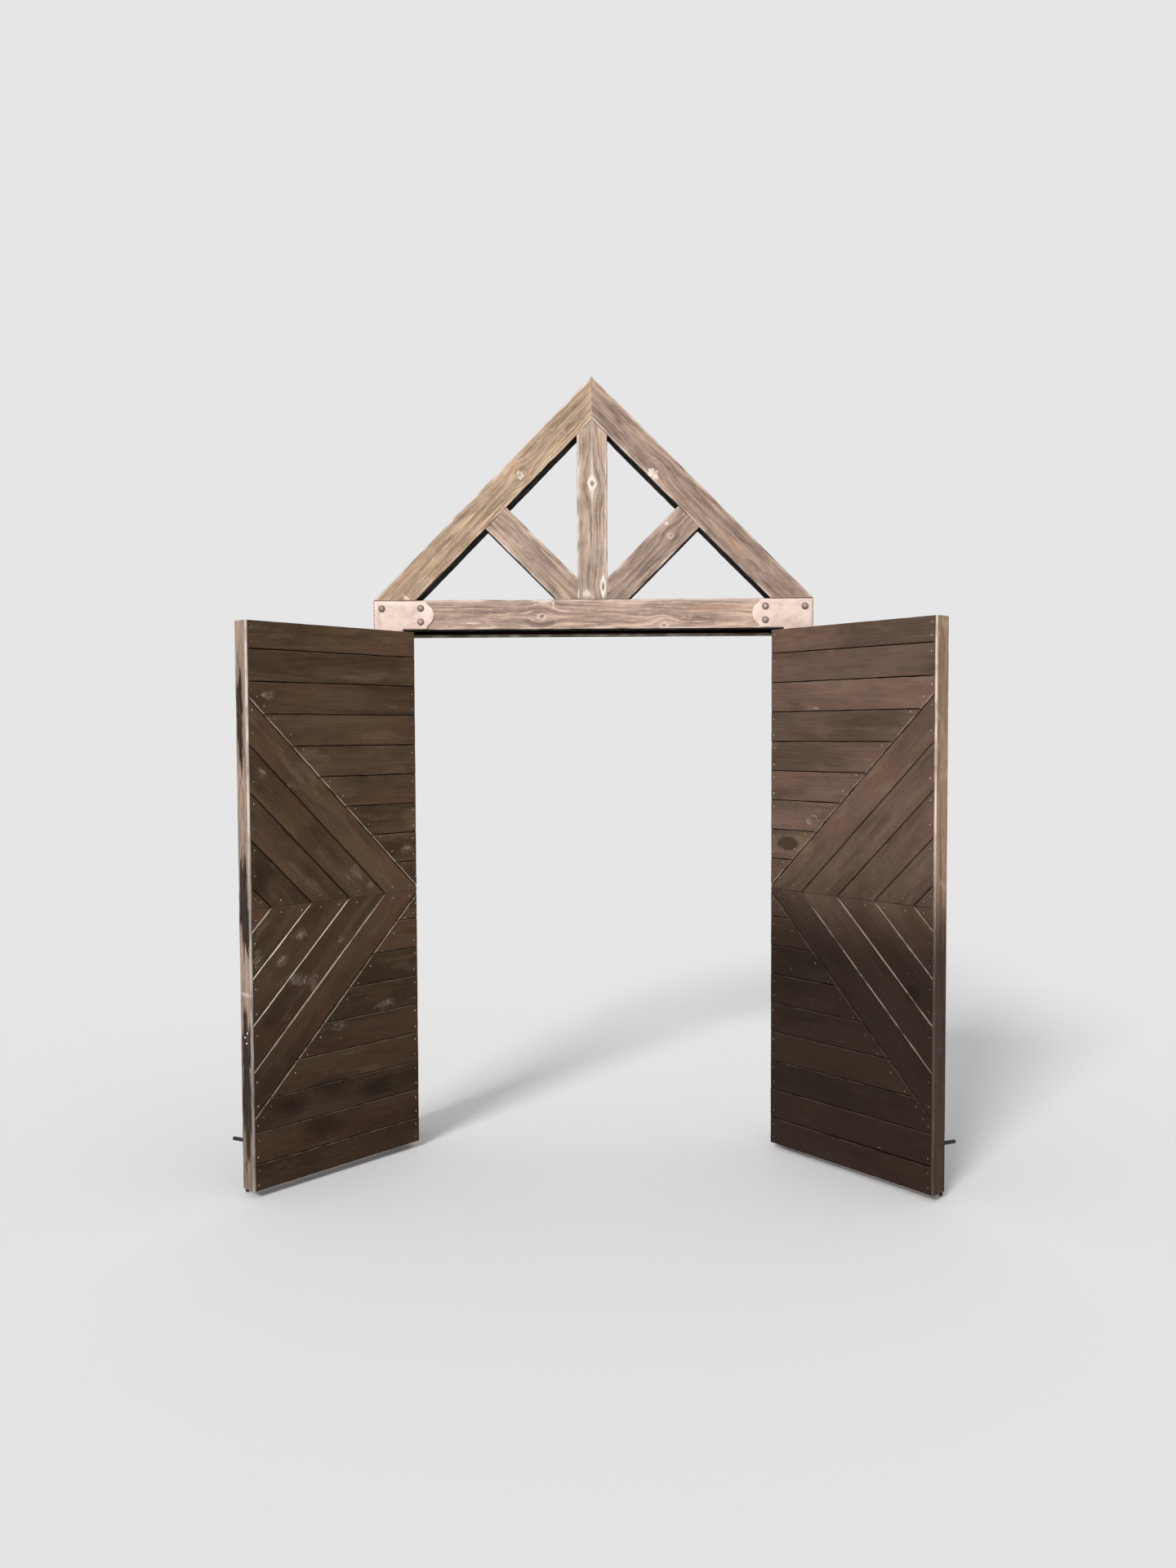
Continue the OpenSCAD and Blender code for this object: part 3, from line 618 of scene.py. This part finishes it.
def dressed(name, node, body, slot, material, along, across, seed, wear=0.0025, pitch=0.016, stain_and_shade=None,
            insets=(0.006, 0.015), fade=0.006, ease=0.0012):
    """A timber from the CAD solids of a node: edges eased, worn and nicked, with its grain set along it."""
    bm = cad_mesh(node)
    grain = bm.verts.layers.float_vector.new("grain")
    arris = bm.verts.layers.float.new("arris")
    shade = bm.faces.layers.float.new("stain_and_shade")
    # Per face: the share of kept dark staining and of near-black painted shade.
    if stain_and_shade:
        for f in bm.faces:
            f[shade] = stain_and_shade(f.normal)
    edges = arrises(bm)
    ends = {tuple(round(v, 3) for v in f.normal): (f.calc_center_median(), f.normal.copy())
            for f in bm.faces}
    bmesh.ops.bevel(bm, geom=bm.edges[:], offset=ease, segments=1, affect="EDGES", profile=0.5)
    rng = random.Random(seed)
    for number, group in enumerate(islands(bm)):
        way = along(group) if callable(along) else along
        centre, axes, halves = timber_axes([v.co for v in group], way, across)
        a, b, c = axes
        group = sliced(bm, group, centre, axes, halves, ends.values(), insets, pitch)
        offset = Vector((rng.uniform(0, 40), rng.uniform(-0.02, 0.02), 0.0)) if number else Vector()
        for v in group:
            local = v.co - centre
            s, p, q = local.dot(a), local.dot(b), local.dot(c)
            v[grain] = Vector((s, p, q)) + offset
            best, into, where, index = nearest_arris(v.co, edges)
            near = math.exp(-best / fade)
            spot = Vector((where * 7, index * 3.7 + seed * 5.1, 0.4))
            dent = 0.4 + 0.9 * noise.noise(spot) + 0.6 * noise.noise(spot * 6.3)
            dent += 3.0 * max(0.0, noise.noise(spot * 1.7 + Vector((9, 3, 4))) - 0.4)
            long_edge = abs(into.dot(a)) < 0.15
            v.co += into * (wear if long_edge else wear * 0.25) * max(0.0, dent) * near
            # The arris mask: the materials paint bare wood along it, and on the truss, trim and stop strip
            # partly a painted highlight.
            bare = 0.45 + 1.0 * max(0.0, noise.noise(spot * 2.1) + 0.1)
            v[arris] = min(1.0, near * (bare if long_edge else bare * 0.45))
            if best > 0.005:
                flat = wear * 0.14 * (noise.noise(Vector((s * 2.5, p * 9, q * 9 + seed))) + 0.6)
                for d, half, value in ((b, halves[1], p), (c, halves[2], q)):
                    if half - abs(value) < 0.0005:
                        v.co -= d * math.copysign(max(0.0, flat), value)
    return new_piece(name, bm, body, slot, material, node)


def polished(name, node, body, slot, material, ease=0.0006, rim=None):
    """A metal piece from a CAD node with its sharp edges broken. Rim is the radius of its bolts' heads."""
    bm = cad_mesh(node)
    sharp = [e for e in bm.edges if len(e.link_faces) == 2 and e.calc_face_angle(0) > math.radians(25)]
    bmesh.ops.bevel(bm, geom=sharp, offset=ease, segments=2, affect="EDGES", profile=0.6, clamp_overlap=True)
    # Distance from each head's axis, for the painted shade round the heads.
    if rim:
        layer = bm.verts.layers.float.new("rim")
        for group in islands(bm):
            centre = timber_axes([v.co for v in group], (0, 1, 0), (1, 0, 0))[0]
            for v in group:
                away = v.co - centre
                v[layer] = math.hypot(away.x, away.z) / rim
    for f in bm.faces:
        f.smooth = True
    piece = new_piece(name, bm, body, slot, material, node)
    piece.data.set_sharp_from_angle(angle=math.radians(32))
    return piece


# Gate frame

def kept_stain_and_shade(normal):
    """Faces that look down keep their dark staining, deepened to a near-black painted shade, and the back
    keeps part of the staining.
    """
    if normal.z < -0.55:
        return 1.0
    return 0.3 if normal.y > 0.8 else 0.0


def seated_stain_and_shade(normal):
    """The same painted shade and kept staining, for a timber whose level foot sits on another one."""
    return 0.25 if normal.z < -0.98 else kept_stain_and_shade(normal)


UP, ACROSS = (0, 0, 1), (1, 0, 0)
RISE_RIGHT, RISE_LEFT = (1, 0, 1), (-1, 0, 1)
ALONG = {"left_post": UP, "right_post": UP, "tie_beam": ACROSS, "stop_strip": ACROSS,
         "left_rafter": RISE_RIGHT, "right_rafter": RISE_LEFT, "king_post": UP,
         "left_strut": RISE_LEFT, "right_strut": RISE_RIGHT}


# Each timber's look, with its marks as in the photograph. Knots, chips and tans are given by x, z and half
# sizes along and across, and the pale line by x, z, its lengths each way and its half width.
TIMBERS = {
    "king_post": dict(
        name="king_timber", tone=(183, 158, 139), pith=(0.02, 0.02), warm=0.7, rim=1.3,
        knots=[(0.9509, 3.0787, 0.041, 0.025, "diamond"), (1.0001, 2.604, 0.062, 0.0165, "diamond")],
        chips=[(1.002, 2.69, 0.06, 0.004), (0.9263, 2.57, 0.022, 0.024), (1.0105, 2.84, 0.13, 0.005),
               (0.98, 2.86, 0.11, 0.002)],
        line=(0.9509, 3.0787, 0.34, 0.36, 0.0026)),
    "left_rafter": dict(
        name="left_rafter_timber", tone=(190, 161, 134), pith=(0.012, 0.03), warm=0.6,
        knots=[(0.615, 3.1214, 0.021, 0.019, "pale")], chips=[(0.085, 2.556, 0.012, 0.03)],
        tans=[(0.12, 2.68, 0.15, 0.035)]),
    "right_rafter": dict(
        name="right_rafter_timber", tone=(165, 139, 124), pith=(-0.02, 0.01),
        knots=[(1.2319, 3.1208, 0.024, 0.021, "pale")], chips=[(1.243, 3.106, 0.016, 0.012)],
        tans=[(1.015, 3.41, 0.08, 0.022), (1.62, 2.78, 0.13, 0.03)]),
    "tie_beam": dict(
        name="beam_timber", tone=(195, 167, 151), pith=(-0.03, 0.02), warm=0.3,
        knots=[(0.7133, 2.4672, 0.024, 0.02, "dark"), (1.2812, 2.424, 0.024, 0.016, "dark")],
        chips=[(0.72, 2.54, 0.06, 0.014), (0.769, 2.525, 0.006, 0.022), (0.395, 2.437, 0.04, 0.007)],
        tans=[(1.5, 2.5, 0.2, 0.03)]),
    "left_strut": dict(
        name="left_strut_timber", tone=(180, 155, 137), pith=(0.02, 0.04), warm=0.6,
        knots=[(0.62, 2.8, 0.014, 0.008, "dark")]),
    "right_strut": dict(
        name="right_strut_timber", tone=(165, 141, 126), pith=(0.05, -0.02), warm=0.3,
        knots=[(1.312, 2.8347, 0.018, 0.014, "dark")], chips=[(1.2932, 2.891, 0.01, 0.008)]),
    "left_post": dict(name="post_timber", tone=(150, 128, 116), pith=(0.02, 0.01), warm=0.4),
}


def build_frame(iron):
    body = "gate_frame"
    timbers = {node: weathered_timber(node, **look) for node, look in TIMBERS.items()}
    timbers["right_post"] = timbers["left_post"]
    for seed, (node, along) in enumerate(ALONG.items(), 3):
        if node == "stop_strip":
            dressed("stop_strip_timber", node, body, "stained_framing", stop_strip_shade_and_highlight(), along, facing(along),
                    seed, 0.0006, insets=(0.004, 0.01), fade=0.0035, ease=0.003)
        else:
            dressed(f"{node}_timber", node, body, "weathered_timber", timbers[node], along, facing(along),
                    seed, stain_and_shade=kept_stain_and_shade if along == ACROSS else seated_stain_and_shade)
    zinc = galvanised()
    bolt = steel("bolt_steel", (166, 141, 130), (194, 169, 157), 0.15, 0.5, shade_ring=(108, 87, 79))
    for side in ("left", "right"):
        for face in ("front", "back"):
            plate = f"{side}_{face}_plate"
            polished(f"{side}_{face}_corner_plate", plate, body, "galvanised_steel", zinc, 0.0012)
        polished(f"{side}_corner_bolts", f"{side}_plate_bolts", body, "bolt_steel", bolt, rim=BOLT_HEAD)
        polished(f"{side}_post_hinges", f"{side}_hinge_brackets", body, "black_iron", iron)


# Leaves

def leaf_place(side):
    """From leaf coordinates to the shared frame at rest."""
    left = (Matrix.Translation((HALF - PIN_SIDE, -HALF - PIN_OUT, LEAF_UP)) @ Matrix.Rotation(-OPEN, 4, "Z")
            @ Matrix.Translation((PIN_SIDE + HINGE_GAP, PIN_OUT, 0)))
    if side == "left":
        return left
    return Matrix.Translation((2 * CENTRE, 0, 0)) @ Matrix.Diagonal((-1, 1, 1, 1)) @ left


def clip(outline, n, d, label):
    """Keeps a convex outline where n . point <= d. Each entry is a point and its next edge's label."""
    out = []
    for i, (a, tag) in enumerate(outline):
        b = outline[(i + 1) % len(outline)][0]
        da, db = n[0] * a[0] + n[1] * a[1] - d, n[0] * b[0] + n[1] * b[1] - d
        if da <= 0:
            out.append((a, tag))
        if (da < 0 < db) or (db < 0 < da):
            t = da / (da - db)
            out.append(((a[0] + (b[0] - a[0]) * t, a[1] + (b[1] - a[1]) * t), label if da < 0 else tag))
    tidy = []
    for p, tag in out:
        if tidy and math.dist(tidy[-1][0], p) < 1e-7:
            tidy.pop()
        tidy.append((p, tag))
    return tidy


def oblong(low, high, below, above):
    """The labelled outline of a strip over the boards' whole width."""
    return [((0, low), below), ((BOARDS_W, low), "free"), ((BOARDS_W, high), above), ((0, high), "hinge")]


def board_list(side):
    """Every board of a leaf: its group, its labelled outline in leaf x and z, and its direction."""
    mid, top = MID[side], TOP_BOARD[side]
    found = []
    for row in range(2 * ROWS):
        z1 = LEAF_H - top - PITCH * (row - 1) - GAP / 2
        z0 = z1 - PITCH + GAP
        outline = oblong(z0, z1, "below", "above")
        if side == "right" and z0 < 0:
            outline[2:3] = [((x, z1 - OPENED), "above") for x in (BOARDS_W, BOARDS_W / 2)]
        outline = clip(outline, (0, 1), LEAF_H, "end")
        outline = clip(outline, (0, -1), 0, "end")
        if row < ROWS:
            outline = clip(outline, (1, -1), -(mid + TIP + GAP / ROOT_2), "cut")
        else:
            outline = clip(outline, (1, 1), mid - TIP - GAP / ROOT_2, "cut")
        if len(outline) > 2:
            found.append(("upper" if row < ROWS else "lower", outline, (1.0, 0.0)))
    for half in (1, -1):
        for k in range(CHEVRON_BOARDS):
            outline = oblong(0, LEAF_H, "mid", "free")
            outline = clip(outline, (-1, 1), TIP - k * STEP - GAP / ROOT_2, "outer" if k else "rim")
            outline = clip(outline, (1, -1), (k + 1) * STEP - TIP - GAP / ROOT_2, "inner")
            outline = clip(outline, (0, -1), -MITRE_GAP, "mid")
            if half < 0:
                tags = [tag for p, tag in outline][::-1]
                points = [p for p, tag in outline][::-1]
                outline = list(zip(points, tags[1:] + tags[:1]))
            outline = [((p[0], mid + half * p[1]), tag) for p, tag in outline]
            kind = "chevron_up" if half > 0 else "chevron_down"
            found.append((kind, outline, (1 / ROOT_2, half / ROOT_2)))
    return found


# Width of each edge's bevel, and how bright a painted highlight (above 0) or how dark a painted shade (below
# 0) its bevel gets, by the way it faces the light
BEVEL = {"below": 0.0032, "above": 0.0022, "free": 0.0005, "hinge": 0.0014, "end": 0.0014, "cut": 0.0052,
         "rim": 0.0042, "outer": 0.0026, "inner": 0.0036, "mid": 0.001}
BEVEL_LIGHT_AND_SHADE = {
    "left": {"upper": {"below": -1.0, "above": 0.1, "cut": 0.6},
             "lower": {"below": -0.55, "above": 0.2, "cut": 0.48},
             "chevron_up": {"rim": -0.75, "outer": -0.2, "inner": -0.8, "mid": -0.25},
             "chevron_down": {"rim": -0.5, "outer": -0.6, "inner": 1.0, "mid": 0.08}},
    "right": {"upper": {"below": -1.0, "above": 0.08, "cut": 0.42},
              "lower": {"below": -1.0, "above": 0.08, "cut": 0.06},
              "chevron_up": {"rim": -0.65, "outer": -0.2, "inner": -0.55, "mid": -0.1},
              "chevron_down": {"rim": -0.9, "outer": -0.8, "inner": 0.45, "mid": -0.05}},
}


# Distance between an edge's points, and the joints' edges that have a tongue
EDGE_STEP = 0.02
TONGUED = ("above", "outer", "rim", "cut", "mid")


def inset_corners(points, widths):
    """The corners of the flat face inside the bevels of a board's edges."""
    found = []
    for i, point in enumerate(points):
        before = (point - points[i - 1]).normalized()
        after = (points[(i + 1) % len(points)] - point).normalized()
        n1, n2 = Vector((-before.y, before.x)), Vector((-after.y, after.x))
        w1, w2 = widths[i - 1], widths[i]
        det = n1.x * n2.y - n1.y * n2.x
        found.append(point + Vector(((w1 * n2.y - w2 * n1.y) / det, (n1.x * w2 - n2.x * w1) / det)))
    return found


def add_board(bm, lay, outline, along, rng, edges, number):
    """One board: worn outline, bevelled face, sides and back, with its grain along it."""
    points = [Vector(p) for p, tag in outline]
    tags = [tag for p, tag in outline]
    count = len(points)
    inner = inset_corners(points, [BEVEL[tag] for tag in tags])
    start = Vector((rng.uniform(0, 60), rng.uniform(-0.5, 0.5), rng.uniform(-0.02, 0.02)))
    middle = sum(points, Vector((0, 0))) / count
    a = Vector(along)
    b = Vector((-a.y, a.x))
    tone = rng.random()
    sink = rng.uniform(0.0002, 0.0014)
    tilt = rng.uniform(-0.0007, 0.0007)

    def vertex(point, y, edge):
        v = bm.verts.new((point.x, y, point.y))
        local = point - middle
        v[lay["grain"]] = Vector((local.dot(a), local.dot(b), y)) + start
        v[lay["edge"]] = edge
        v[lay["tone"]] = tone
        v[lay["high"]] = point.y / LEAF_H
        return v

    rings = [[], [], [], []]
    for i in range(count):
        p0, p1 = points[i], points[(i + 1) % count]
        q0, q1 = inner[i], inner[(i + 1) % count]
        steps = max(1, round((p1 - p0).length / EDGE_STEP))
        for j in range(steps):
            p, q = p0.lerp(p1, j / steps), q0.lerp(q1, j / steps)
            if j:
                spot = Vector((p.x * 31, p.y * 31, number * 1.7))
                q += (q - p) * 0.4 * noise.noise(spot)
                p += (q - p) * max(0.0, 1.2 * noise.noise(spot * 0.6 + Vector((3, 5, 7))) - 0.1)
            top = LEAF_T - sink - tilt * (q - middle).dot(b) / 0.06
            # This bevel's painted highlight (above 0) or painted shade (below 0).
            edge = edges.get(tags[i], 0.0)
            rings[0].append(vertex(p, FRAME_D, 0.0))
            rings[1].append(vertex(p, top - BEVEL[tags[i]] * 1.1, edge))
            rings[2].append(vertex(q, top, edge))
            rings[3].append(vertex(q + (q - p) * 0.2, top, 0.0))
    size = len(rings[0])
    for lower, upper in zip(rings, rings[1:]):
        for i in range(size):
            bm.faces.new((lower[i], lower[(i + 1) % size], upper[(i + 1) % size], upper[i]))
    bm.faces.new(rings[3])
    bm.faces.new(rings[0][::-1])


def add_tongues(bm, lay, outline):
    """The tongues that close the joints behind the bevels."""
    points = [Vector(p) for p, tag in outline]
    for i, (_, tag) in enumerate(outline):
        if tag not in TONGUED:
            continue
        p0, p1 = points[i], points[(i + 1) % len(points)]
        d = (p1 - p0).normalized()
        out = Vector((d.y, -d.x))
        near, far = -out * TONGUE_IN, out * TONGUE_OUT
        corners = [p0 + near, p1 + near, p1 + far, p0 + far]
        corners = [Vector((min(max(c.x, 0.0), BOARDS_W), min(max(c.y, 0.0), LEAF_H))) for c in corners]
        levels = []
        for over in TONGUE_LEVELS:
            level = [bm.verts.new((c.x, FRAME_D + over, c.y)) for c in corners]
            for v in level:
                v[lay["grain"]] = v.co
                # Tongues sit deep in the grooves and take the full painted shade.
                v[lay["edge"]] = -1.0
                v[lay["high"]] = v.co.z / LEAF_H
            levels.append(level)
        low, high = levels
        bm.faces.new(low[::-1])
        bm.faces.new(high)
        for k in range(4):
            bm.faces.new((low[k], low[(k + 1) % 4], high[(k + 1) % 4], high[k]))


def build_boards(side, material):
    place = leaf_place(side)
    rng = random.Random(21 if side == "left" else 47)
    boards = board_list(side)
    for group in ("upper", "lower", "chevron"):
        bm = bmesh.new()
        bm.verts.layers.float_vector.new("grain")
        # The edge value is each bevel's painted highlight above 0 and painted shade below 0.
        for key in ("edge", "tone", "high"):
            bm.verts.layers.float.new(key)
        lay = {"grain": bm.verts.layers.float_vector["grain"]}
        lay.update({key: bm.verts.layers.float[key] for key in ("edge", "tone", "high")})
        for number, (kind, outline, along) in enumerate(boards):
            if kind.startswith(group):
                add_board(bm, lay, outline, along, rng, BEVEL_LIGHT_AND_SHADE[side][kind], number)
                add_tongues(bm, lay, outline)
        bmesh.ops.transform(bm, matrix=place, verts=bm.verts)
        bmesh.ops.recalc_face_normals(bm, faces=bm.faces)
        name = f"{side}_{group}_board"
        new_piece(name + "ing", bm, f"{side}_leaf", "stained_boards", material, name + "s")


# Nails: how far from each kind of edge, and the radii of their heads. Trim screws: leaf y and z, and radius
NAIL_IN = {"hinge": 0.0175, "free": 0.015, "cut": 0.028, "mid": 0.025}
NAIL_R = (0.0028, 0.0038)
SCREWS, SCREW_R = ((0.05, 0.66), (0.033, 0.64), (0.044, 0.617)), 0.0062


def nail_places(side, rng):
    """Two nails at each end of a board, and along the chevron's joints."""
    found = []
    for kind, outline, along in board_list(side):
        points = [Vector(p) for p, tag in outline]
        for i, (_, tag) in enumerate(outline):
            d = points[(i + 1) % len(points)] - points[i]
            if tag not in NAIL_IN or d.length < 0.05:
                continue
            inward = Vector((-d.y, d.x)).normalized()
            for t in (0.24, 0.76) if d.length > 0.09 else (0.5,):
                spot = points[i] + d * (t + rng.uniform(-0.03, 0.03))
                found.append(spot + inward * (NAIL_IN[tag] + rng.uniform(-0.003, 0.003)))
    return found


def add_head(bm, centre, radius, flatness, turn=Matrix.Identity(3)):
    """A flattened dome that faces along y, or as turned."""
    made = bmesh.ops.create_uvsphere(bm, u_segments=12, v_segments=6, radius=radius)
    for v in made["verts"]:
        v.co = turn @ Vector((v.co.x, v.co.z * flatness, v.co.y)) + centre


def place_heads(name, bm, side, material):
    """Makes heads in leaf coordinates one piece on the leaf."""
    bmesh.ops.transform(bm, matrix=leaf_place(side), verts=bm.verts)
    bmesh.ops.recalc_face_normals(bm, faces=bm.faces)
    for f in bm.faces:
        f.smooth = True
    new_piece(f"{side}_{name}", bm, f"{side}_leaf", "bolt_steel", material)


def build_nails(side, nail):
    rng = random.Random(5 if side == "left" else 6)
    bm = bmesh.new()
    for spot in nail_places(side, rng):
        add_head(bm, Vector((spot.x, LEAF_T - 0.0011, spot.y)), rng.uniform(*NAIL_R), 0.34)
    place_heads("board_nails", bm, side, nail)


def build_screws(screw):
    """The three bright screws on the left leaf's trim. The right trim has none."""
    bm = bmesh.new()
    turn = Matrix.Rotation(math.radians(90), 3, "Z")
    for y, z in SCREWS:
        add_head(bm, Vector((LEAF_W - 0.0012, y, z)), SCREW_R, 0.3, turn)
    place_heads("trim_screws", bm, "left", screw)


def build_leaf(side, boards, framing, trim, iron, nail):
    body = f"{side}_leaf"
    turn = leaf_place(side).to_3x3()
    along, out, up = turn @ Vector((1, 0, 0)), turn @ Vector((0, 1, 0)), Vector((0, 0, 1))
    seed = 100 if side == "left" else 200

    def brace_axis(group):
        middle = sum(v.co.z for v in group) / len(group)
        return along + up if middle > LEAF_UP + LEAF_H / 2 else along - up

    pieces = (("hinge_stile", up, along), ("free_stile", up, along), ("top_rail", along, up),
              ("bottom_rail", along, up), ("ledges", along, up), ("braces", brace_axis, out))
    for step, (piece, way, across) in enumerate(pieces):
        dressed(f"{side}_{piece}_timber", f"{side}_{piece}", body, "stained_framing", framing, way, across,
                seed + step, 0.0012, 0.03)
    dressed(f"{side}_edge_trim_timber", f"{side}_edge_trim", body, "trim_timber", trim, up, out, seed + 9,
            0.0014, 0.02, insets=(0.0032, 0.014), fade=0.0022)
    build_boards(side, boards)
    build_nails(side, nail)
    polished(f"{side}_strap_hinge_irons", f"{side}_strap_hinges", body, "black_iron", iron)
    polished(f"{side}_bolt_guide_irons", f"{side}_bolt_guides", body, "black_iron", iron)
    polished(f"{side}_drop_bolt_rod", f"{side}_drop_bolt", f"{side}_drop_bolt", "black_iron", iron)


def boarded_face(side):
    """A leaf's boarded face: its normal and its distance from the origin."""
    place = leaf_place(side)
    normal = place.to_3x3() @ Vector((0, 1, 0))
    return tuple(normal), normal.dot(place @ Vector((0, LEAF_T, 0)))


def on_leaf(side, marks):
    """Places and sizes of marks given by leaf x and z, half width and half height."""
    place = leaf_place(side)
    return [(tuple(place @ Vector((x, LEAF_T, z))), (wide, wide, tall)) for x, z, wide, tall in marks]


def build_stage():
    """A plain pale floor."""
    bm = bmesh.new()
    bmesh.ops.create_grid(bm, x_segments=2, y_segments=2, size=FLOOR_HALF)
    mesh = bpy.data.meshes.new("floor")
    bm.to_mesh(mesh)
    bm.free()
    floor = bpy.data.objects.new("floor", mesh)
    floor.location = (1, 20, -0.0005)
    bpy.context.scene.collection.objects.link(floor)
    paint = Mat("floor_paint", specular=0.0)
    paint.sockets["Base Color"].default_value = (FLOOR, FLOOR, FLOOR, 1)
    paint.sockets["Roughness"].default_value = 0.95
    mesh.materials.append(paint.material)


def build_light():
    """A plain sky, which the camera and gloss see as pale as the floor, and one soft sun."""
    world = bpy.data.worlds.new("world")
    bpy.context.scene.world = world
    world.use_nodes = True
    nodes = Nodes(world.node_tree)
    ray = nodes.node("LightPath", {})
    seen = nodes.math("MAXIMUM", ray["Is Camera Ray"], ray["Is Glossy Ray"])
    sky, back = (nodes.node("Background", {"Color": WHITE, "Strength": v})[0] for v in (SKY, PALE_BACK))
    mixed = nodes.node("MixShader", {0: seen, 1: sky, 2: back})[0]
    nodes.put(world.node_tree.nodes["World Output"].inputs["Surface"], mixed)
    lamp = bpy.data.lights.new("key", "SUN")
    lamp.energy = SUN * math.pi
    lamp.angle = SUN_WIDTH
    sun = bpy.data.objects.new("key", lamp)
    sun.rotation_euler = SUN_FROM.to_track_quat("Z", "Y").to_euler()
    bpy.context.scene.collection.objects.link(sun)


# Marks on each leaf's boarded face, by leaf x and z, half width and half height
MARKS = {
    "left": {
        "tans": [], "blots": [],
        "stains": [(0.682, 0.32, 0.13, 0.07), (0.47, 0.36, 0.15, 0.06), (0.528, 0.19, 0.15, 0.08),
                   (0.25, 0.3, 0.11, 0.07), (0.813, 1.31, 0.08, 0.13)],
        "scuffs": [(0.629, 1.048, 0.044, 0.03), (0.72, 0.946, 0.044, 0.034), (0.64, 0.855, 0.062, 0.036),
                   (0.561, 0.828, 0.032, 0.048), (0.417, 0.999, 0.024, 0.036), (0.83, 0.965, 0.03, 0.05),
                   (0.65, 1.681, 0.046, 0.032), (0.342, 1.284, 0.058, 0.042), (0.795, 1.736, 0.026, 0.026),
                   (0.764, 2.057, 0.038, 0.024), (0.056, 1.367, 0.046, 0.026), (0.262, 1.221, 0.026, 0.02),
                   (0.186, 0.671, 0.07, 0.024), (0.435, 0.616, 0.046, 0.026)]},
    "right": {
        "tans": [(0.11, 1.392, 0.17, 0.056)], "blots": [(0.0965, 1.394, 0.078, 0.04)],
        "stains": [(0.76, 0.82, 0.05, 0.06)],
        "scuffs": [(0.262, 1.535, 0.03, 0.034), (0.222, 1.505, 0.028, 0.036), (0.23, 2.002, 0.06, 0.016)]},
}


def leaf_boards(side, *look):
    """A leaf's board material, with its marks where the photograph shows them."""
    marks = {kind: on_leaf(side, rows) for kind, rows in MARKS[side].items()}
    return stained_boards(f"{side}_board_timber", *look, boarded_face(side), marks)


def leaf_trims():
    """Each leaf's trim material. Streaks and smears are given by height on the leaf and place across."""
    def marks(*rows):
        return [((up - LEAF_H / 2, across, 0), (tall, wide, 0.05)) for up, across, tall, wide in rows]

    def stain_and_shadow_heights(low, high, amount):
        return low - LEAF_H / 2, high - LEAF_H / 2, amount

    streaks = marks((1.95, -0.008, 0.28, 0.03), (1.2, -0.001, 0.24, 0.033), (1.12, 0.012, 0.15, 0.038),
                    (0.43, 0.004, 0.36, 0.044), (0.66, -0.002, 0.12, 0.028))
    smears = marks((0.82, 0.004, 0.012, 0.06))
    left = trim_timber("left_trim_timber", (138, 117, 103), (172, 149, 131), (250, 240, 232),
                       streaks, 0.16, stain_and_shadow_heights(0.4, 0.95, 0.34), 1, smears)
    # The right trim's darkening low down is a painted shadow.
    right = trim_timber("right_trim_timber", (142, 115, 95), (171, 142, 119), (236, 212, 196),
                        (), 0.42, stain_and_shadow_heights(0.95, 1.45, 0.88), -1)
    return {"left": left, "right": right}


camera()
iron = steel("black_iron", (24, 22, 22), (42, 39, 38), 0.25, 0.55, 0.25)
build_frame(iron)
framing = stained_framing("framing_timber", (58, 45, 37), (86, 69, 57), (142, 122, 106), 0.6)
nail_tones = ((128, 116, 104), (196, 184, 172))
# The right leaf's nails are darkened low down by a painted shadow.
nails = {"left": steel("left_nail_steel", *nail_tones, 0.1, 0.45),
         "right": steel("right_nail_steel", *nail_tones, 0.1, 0.45, shadow_low_down=(1.05, 1.5))}
# The last value of each is how the boards darken low down; on the right leaf it is a painted shadow.
boards = {"left": leaf_boards("left", (97, 75, 56), (74, 56, 41), (106, 76, 57),
                              (72, 63, 47), (170, 148, 124), (0.12, 0.62, 0.5)),
          "right": leaf_boards("right", (116, 92, 78), (95, 75, 63), (133, 100, 82),
                               (96, 80, 72), (176, 154, 136), (0.38, 0.6, 0.85))}
trims = leaf_trims()
for side in ("left", "right"):
    build_leaf(side, boards[side], framing, trims[side], iron, nails[side])
build_screws(steel("screw_steel", (226, 220, 212), (244, 240, 234), 0.2, 0.34))
build_stage()
build_light()
bpy.context.scene.view_settings.view_transform = "Standard"
